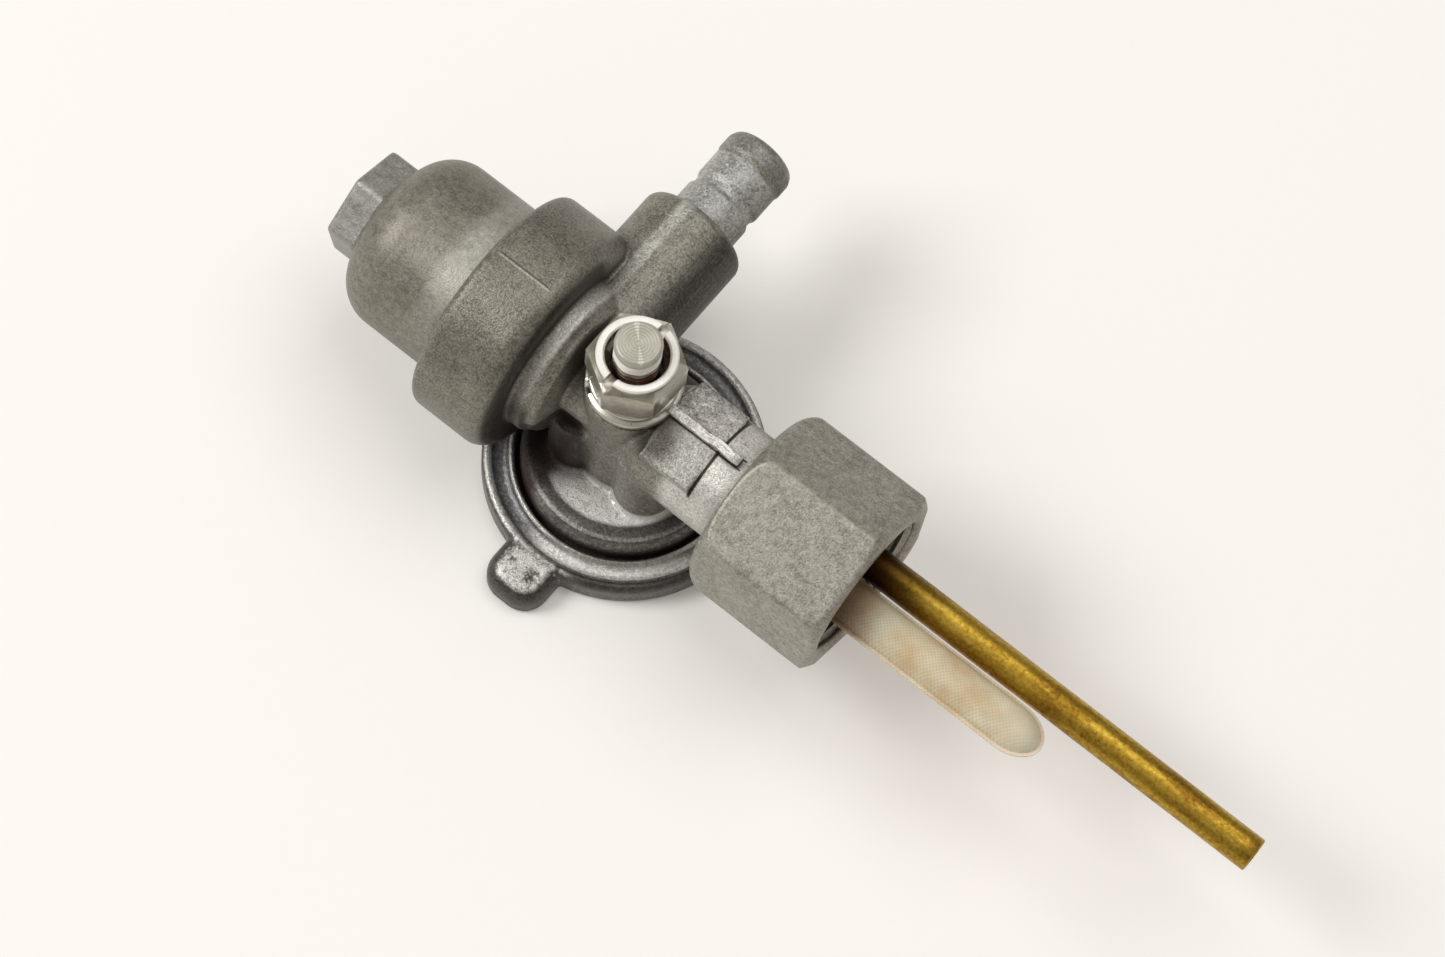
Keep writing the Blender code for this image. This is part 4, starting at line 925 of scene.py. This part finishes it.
# %% Shape the nub
bpy.ops.object.select_all(action="DESELECT")
NUB_X, NUB_IN, NUB_OUT, NUB_TOP = 0.00355, 0.0134, 0.0199, 0.0035
bpy.ops.mesh.primitive_cube_add(size=1, location=(-0.0003, -(NUB_IN + NUB_OUT) / 2, NUB_TOP / 2),
                                scale=(2 * NUB_X, NUB_OUT - NUB_IN, NUB_TOP))
nub = bpy.context.object
settle(nub)
bpy.ops.object.mode_set(mode="EDIT")
bpy.ops.mesh.select_mode(type="EDGE")
for chosen, width, steps in (
        (lambda a, b: abs(a.z - b.z) > 0.001 and a.y < -0.018, 0.0028, 8),      # far corners
        (lambda a, b: min(a.z, b.z) > NUB_TOP - 0.00001, 0.0019, 8),            # top
        (lambda a, b: max(a.z, b.z) < 0.00001, 0.0004, 3)):                     # foot
    shape = bmesh.from_edit_mesh(nub.data)
    for edge in shape.edges:
        edge.select_set(chosen(*(vert.co for vert in edge.verts)))
    bmesh.update_edit_mesh(nub.data)
    bpy.ops.mesh.bevel(offset=width, segments=steps, affect="EDGES")
bpy.ops.object.mode_set(mode="OBJECT")
print("nub reaches", round(1000 * NUB_OUT, 1), "mm from the spindle")

# %% Melt disc and nub together
only(lever_disc, nub)
bpy.ops.object.join()
cast_skin(lever_disc, 0.00016, 3)
thin_out(lever_disc)
smooth(lever_disc, 60)
done(lever_disc, "disc_zinc", "lever", "knob")

# %% [markdown]
# ## The sediment bowl
#
# The bowl is a deep cup with a domed end.  It screws into the collar and has a small hexagon on its
# dome for a spanner, cast in one piece with it.

# %% Spin the cup and add its hexagon
BOWL_R, SHOULDER, DOME_END = 0.00995, -0.0275, -0.0323
section = [(0, -0.0309)] + arc(0.0024, SHOULDER, 0.00615, -90, 0, 8, 3.4 / 6.15)
section += [(0.00855, -0.0130), (BOWL_R, -0.0130)]
section += arc(0.0050, SHOULDER, 0.00495, 0, -90, 16, 4.8 / 4.95) + [(0, DOME_END)]
cup = stand(turned("bowl_cup", section, 144), (0, 0, AXIS), ALONG_X)


def hexagon(name, flats, low, high, turn_by):
    """A six-sided bar along X, turned about its axis."""
    bpy.ops.object.select_all(action="DESELECT")
    bpy.ops.mesh.primitive_cylinder_add(vertices=6, radius=flats / 2 / cos(pi / 6), depth=high - low)
    item = bpy.context.object
    item.name = name
    turn = ALONG_X @ Matrix.Rotation(turn_by, 4, "Z")
    return stand(item, ((low + high) / 2, 0, AXIS), turn)


head_hexagon = hexagon("bowl_hexagon", 0.0108, -0.0359, -0.0316, radians(38))
soften(head_hexagon, 0.0004, 3)
only(cup, head_hexagon)
bpy.ops.object.join()
cast_skin(cup, 0.00019, 3)
thin_out(cup)
smooth(cup, 60)
done(cup, "dull_zinc", "bowl", "sediment_bowl")

# %% [markdown]
# ## The union nut
#
# A long hexagon whose back is turned round and whose front is lightly chamfered.  The hexagon is
# trimmed by a turned shape, which leaves the curved lines on its flats, and bored out.  Its thread is a
# ridge that winds along the bore.

# %% Trim and bore the nut
NUT_FLATS, NUT_LOW, NUT_HIGH, NUT_BORE = 0.0190, 0.0150, 0.0308, 0.0080
corner = NUT_FLATS / 2 / cos(pi / 6)
nut = hexagon("union_body", NUT_FLATS, NUT_LOW, NUT_HIGH, radians(27))
soften(nut, 0.0005, 4)
reach = corner - NUT_BORE - 0.0004
section = [(0, NUT_HIGH), (0.0098, NUT_HIGH), (corner, NUT_HIGH - 0.0009)]
section += arc(corner - reach, NUT_LOW + 0.0025, reach, 0, -90, 14, 0.0025 / reach)
section += [(0, NUT_LOW)]
trim = stand(turned("nut_trim", section, 128), (0, 0, AXIS), ALONG_X)
combine(nut, trim, "INTERSECT")
section = [(0, NUT_HIGH + 0.001), (NUT_BORE + 0.0014, NUT_HIGH + 0.001), (NUT_BORE, NUT_HIGH - 0.0004)]
section += [(NUT_BORE, NUT_LOW - 0.001), (0, NUT_LOW - 0.001)]
combine(nut, stand(turned("nut_bore", section, 128), (0, 0, AXIS), ALONG_X), "DIFFERENCE")
cast_skin(nut, 0.00020, 2)
thin_out(nut)
smooth(nut, 60)
done(nut, "dull_zinc", "union", "union_nut")


# %% Wind its thread
def turn_share(place, pitch):
    """How far round its turn a helix is at a place, from 0 to 1."""
    return (place.z / pitch - atan2(place.y, place.x) / (2 * pi)) % 1


THREAD_R, THREAD_DEPTH, THREAD_PITCH = NUT_BORE - 0.00002, 0.0005, 0.001
THREAD_LOW, THREAD_HIGH = 0.0238, NUT_HIGH - 0.0006
rows = int((THREAD_HIGH - THREAD_LOW) / THREAD_PITCH * 8)
section = [(THREAD_R, THREAD_HIGH - (THREAD_HIGH - THREAD_LOW) * row / rows) for row in range(rows + 1)]
union_thread = turned("union_thread", section, 72)
for vert in union_thread.data.vertices:
    rise = THREAD_DEPTH * (1 - abs(2 * turn_share(vert.co, THREAD_PITCH) - 1))
    vert.co.xy = vert.co.xy * ((THREAD_R - rise) / THREAD_R)
edit(union_thread)
bpy.ops.mesh.flip_normals()
bpy.ops.object.mode_set(mode="OBJECT")
stand(union_thread, (0, 0, AXIS), ALONG_X)
smooth(union_thread, 50)
done(union_thread, "dull_zinc", "union")

# %% [markdown]
# ## The standpipe and the gauze sleeve
#
# The standpipe is a drawn brass tube, cut off square.  Beside it stands a flattened sleeve of woven
# nylon, whose edge is welded flat all round and whose end is rounded.

# %% Spin the pipe
PIPE_R, PIPE_BORE, PIPE_LOW, PIPE_HIGH = 0.001875, 0.001425, 0.0157, 0.0776
rows = [(PIPE_R, PIPE_HIGH - 0.00012 - (PIPE_HIGH - PIPE_LOW - 0.0003) * row / 40) for row in range(41)]
section = [(PIPE_BORE, PIPE_LOW), (PIPE_BORE, PIPE_HIGH - 0.0001), (PIPE_BORE + 0.0001, PIPE_HIGH)]
section += [(PIPE_R - 0.00012, PIPE_HIGH)] + rows + [(PIPE_R - 0.0001, PIPE_LOW)]
pipe = turned("brass_pipe", section, 64, closed=True)
for vert in pipe.data.vertices:
    place = Vector((vert.co.x, vert.co.y, vert.co.z * 0.25)) * 600
    vert.co.xy *= 1 + 0.012 * noise.noise(place)
stand(pipe, (0, PORT_Y, AXIS), ALONG_X)
smooth(pipe, 50)
done(pipe, "brass", "body", "standpipe")

# %% Shape the sleeve
SLEEVE_W, SLEEVE_H, SLEEVE_WALL = 0.00235, 0.0019, 0.0003
SLEEVE_LOW, SLEEVE_TIP, SLEEVE_ROUND = 0.0226, 0.0542, 0.0036
inside = SLEEVE_W - SLEEVE_WALL
start = SLEEVE_TIP - SLEEVE_ROUND
outer = arc(0, start, SLEEVE_W, 90, 0, 12, SLEEVE_ROUND / SLEEVE_W)
outer[0] = (0, SLEEVE_TIP)
outer += [(SLEEVE_W, start - (start - SLEEVE_LOW) * row / 30) for row in range(1, 31)]
inner = arc(0, start, inside, 0, 90, 12, (SLEEVE_ROUND - SLEEVE_WALL) / inside)
inner[-1] = (0, start + SLEEVE_ROUND - SLEEVE_WALL)
sleeve = turned("gauze_sleeve", outer + [(inside, SLEEVE_LOW)] + inner, 64)
only(sleeve)
bpy.ops.transform.resize(value=(SLEEVE_H / SLEEVE_W, 1, 1))
stand(sleeve, (0, -PORT_Y, AXIS), ALONG_X)
smooth(sleeve, 50)
done(sleeve, "gauze", "body", "strainer_sleeve")

# %% Weld its seam
bpy.ops.object.select_all(action="DESELECT")
bpy.ops.mesh.primitive_circle_add(vertices=48, radius=1, fill_type="NGON", location=(0, 0, 0))
seam = bpy.context.object
seam.name = "sleeve_seam"
SEAM, SEAM_THICK = 0.00035, 0.0004
half = SLEEVE_W + SEAM
for vert in seam.data.vertices:
    x, y = vert.co.x, vert.co.y
    along = start + x * (SLEEVE_ROUND + SEAM) if x > 0.0001 else SLEEVE_LOW + 0.0004
    vert.co = (along, y * half if x > -0.2 else half * (1 if y > 0 else -1), 0)
edit(seam)
bpy.ops.mesh.remove_doubles(threshold=0.00001)
bpy.ops.mesh.extrude_region_move(TRANSFORM_OT_translate={"value": (0, 0, SEAM_THICK)})
bpy.ops.mesh.select_all(action="SELECT")
bpy.ops.mesh.normals_make_consistent(inside=False)
bpy.ops.object.mode_set(mode="OBJECT")
stand(seam, (0, -PORT_Y, AXIS - SEAM_THICK / 2))
smooth(seam, 50)
done(seam, "gauze", "body")

# %% [markdown]
# ## The spindle's end
#
# The stud ends in a face with the rings that a lathe tool leaves.  Its nut has a raised collar with two
# slots, a deep recess round the stud, and corners chamfered at both ends.  A flat washer and a split
# spring washer lie under it.

# %% Turn the stud and wind its thread
STUD_R, STUD_TOP, STUD_PITCH = 0.0025, 0.0340, 0.0008
section = [(0, STUD_TOP - 0.00003)]
for ring in range(1, 7):
    middle = 0.00032 * ring
    section += [(middle - 0.00006, STUD_TOP), (middle, STUD_TOP - 0.00003), (middle + 0.00006, STUD_TOP)]
section += [(0.0021, STUD_TOP), (0.0023, STUD_TOP - 0.00008), (0.0024, STUD_TOP - 0.0003)]
rows = [(STUD_R, STUD_TOP - 0.0004 - 0.0001 * row) for row in range(48)]
section += rows + [(STUD_R, 0.0009), (0, 0.0009)]
stud = turned("threaded_stud", section, 72)
for vert in stud.data.vertices:
    if hypot(vert.co.x, vert.co.y) > STUD_R - 0.00005 and vert.co.z > STUD_TOP - 0.0052:
        fade = min(1, max(0, (STUD_TOP - 0.0007 - vert.co.z) / 0.0005))
        depth = 0.00042 * abs(2 * turn_share(vert.co, STUD_PITCH) - 1) * fade
        vert.co.xy *= (STUD_R - 0.00002 - depth) / STUD_R
smooth(stud, 50)
done(stud, "plated", "lever", "spindle")

# %% Cut the nut
LOW, HEX_TOP, RING_TOP, RING_R = 0.0257, 0.0304, 0.0312, 0.0042
NUT_R = 0.0045 / cos(pi / 6)
bpy.ops.object.select_all(action="DESELECT")
bpy.ops.mesh.primitive_cylinder_add(
    vertices=6, radius=NUT_R, depth=RING_TOP - LOW,
    location=(0, 0, (LOW + RING_TOP) / 2), rotation=(0, 0, radians(28 - 90)))
slotted = bpy.context.object
slotted.name = "slotted_nut"
settle(slotted)
rise = (NUT_R + 0.0003 - RING_R) * tan(radians(30))
section = [(0, RING_TOP), (RING_R - 0.00015, RING_TOP), (RING_R, RING_TOP - 0.00015), (RING_R, HEX_TOP)]
section += [(NUT_R + 0.0003, HEX_TOP - rise), (NUT_R + 0.0003, LOW + rise), (RING_R, LOW), (0, LOW)]
combine(slotted, turned("nut_trim", section, 96), "INTERSECT")
section = [(0, RING_TOP + 0.001), (0.0036, RING_TOP + 0.001), (0.0036, RING_TOP + 0.0001)]
section += [(0.0033, RING_TOP - 0.0002), (0.00325, RING_TOP - 0.0005), (0.00325, RING_TOP - 0.0016)]
section += [(0.00285, RING_TOP - 0.0018), (0.00285, LOW - 0.001), (0, LOW - 0.001)]
combine(slotted, turned("nut_bore", section, 96), "DIFFERENCE")
slot = bar("slot", (-0.006, -0.0005, RING_TOP - 0.001), (0.006, 0.0005, RING_TOP + 0.001))
stand(slot, (0, 0, 0), Matrix.Rotation(radians(85), 4, "Z"))
combine(slotted, slot, "DIFFERENCE")
soften(slotted, 0.0001, 2)
smooth(slotted, 35)
done(slotted, "plated", "lever", "spindle_nut")

# %% Lay the flat washer
WASHER_BORE = 0.0028
section = [(WASHER_BORE, 0.0254), (0.00455, 0.0254), (0.0047, 0.02525)]
section += [(0.0047, 0.02495), (0.00455, 0.0248), (WASHER_BORE, 0.0248)]
washer = turned("thin_washer", section, 96, closed=True)
smooth(washer, 50)
done(washer, "plated", "lever", "flat_washer")

# %% Lay the spring washer
START, SWEEP = radians(225), radians(348)        # where its gap is, and how far it goes round
section = [(WASHER_BORE, 0.0241), (0.00488, 0.0241), (0.0050, 0.02398)]
section += [(0.0050, 0.02332), (0.00488, 0.0232), (WASHER_BORE, 0.0232)]
split = turned("split_washer", section, 96, closed=True, angle=SWEEP)
for vert in split.data.vertices:
    turned_by = atan2(vert.co.y, vert.co.x) % (2 * pi)
    vert.co.z += 0.0004 * turned_by / SWEEP
edit(split)
bpy.ops.mesh.select_all(action="DESELECT")
bpy.ops.mesh.select_non_manifold(extend=False)
bpy.ops.mesh.edge_face_add()
bpy.ops.mesh.select_all(action="SELECT")
bpy.ops.mesh.normals_make_consistent(inside=False)
bpy.ops.object.mode_set(mode="OBJECT")
stand(split, (0, 0, 0), Matrix.Rotation(START, 4, "Z"))
smooth(split, 50)
done(split, "plated", "lever", "spring_washer")
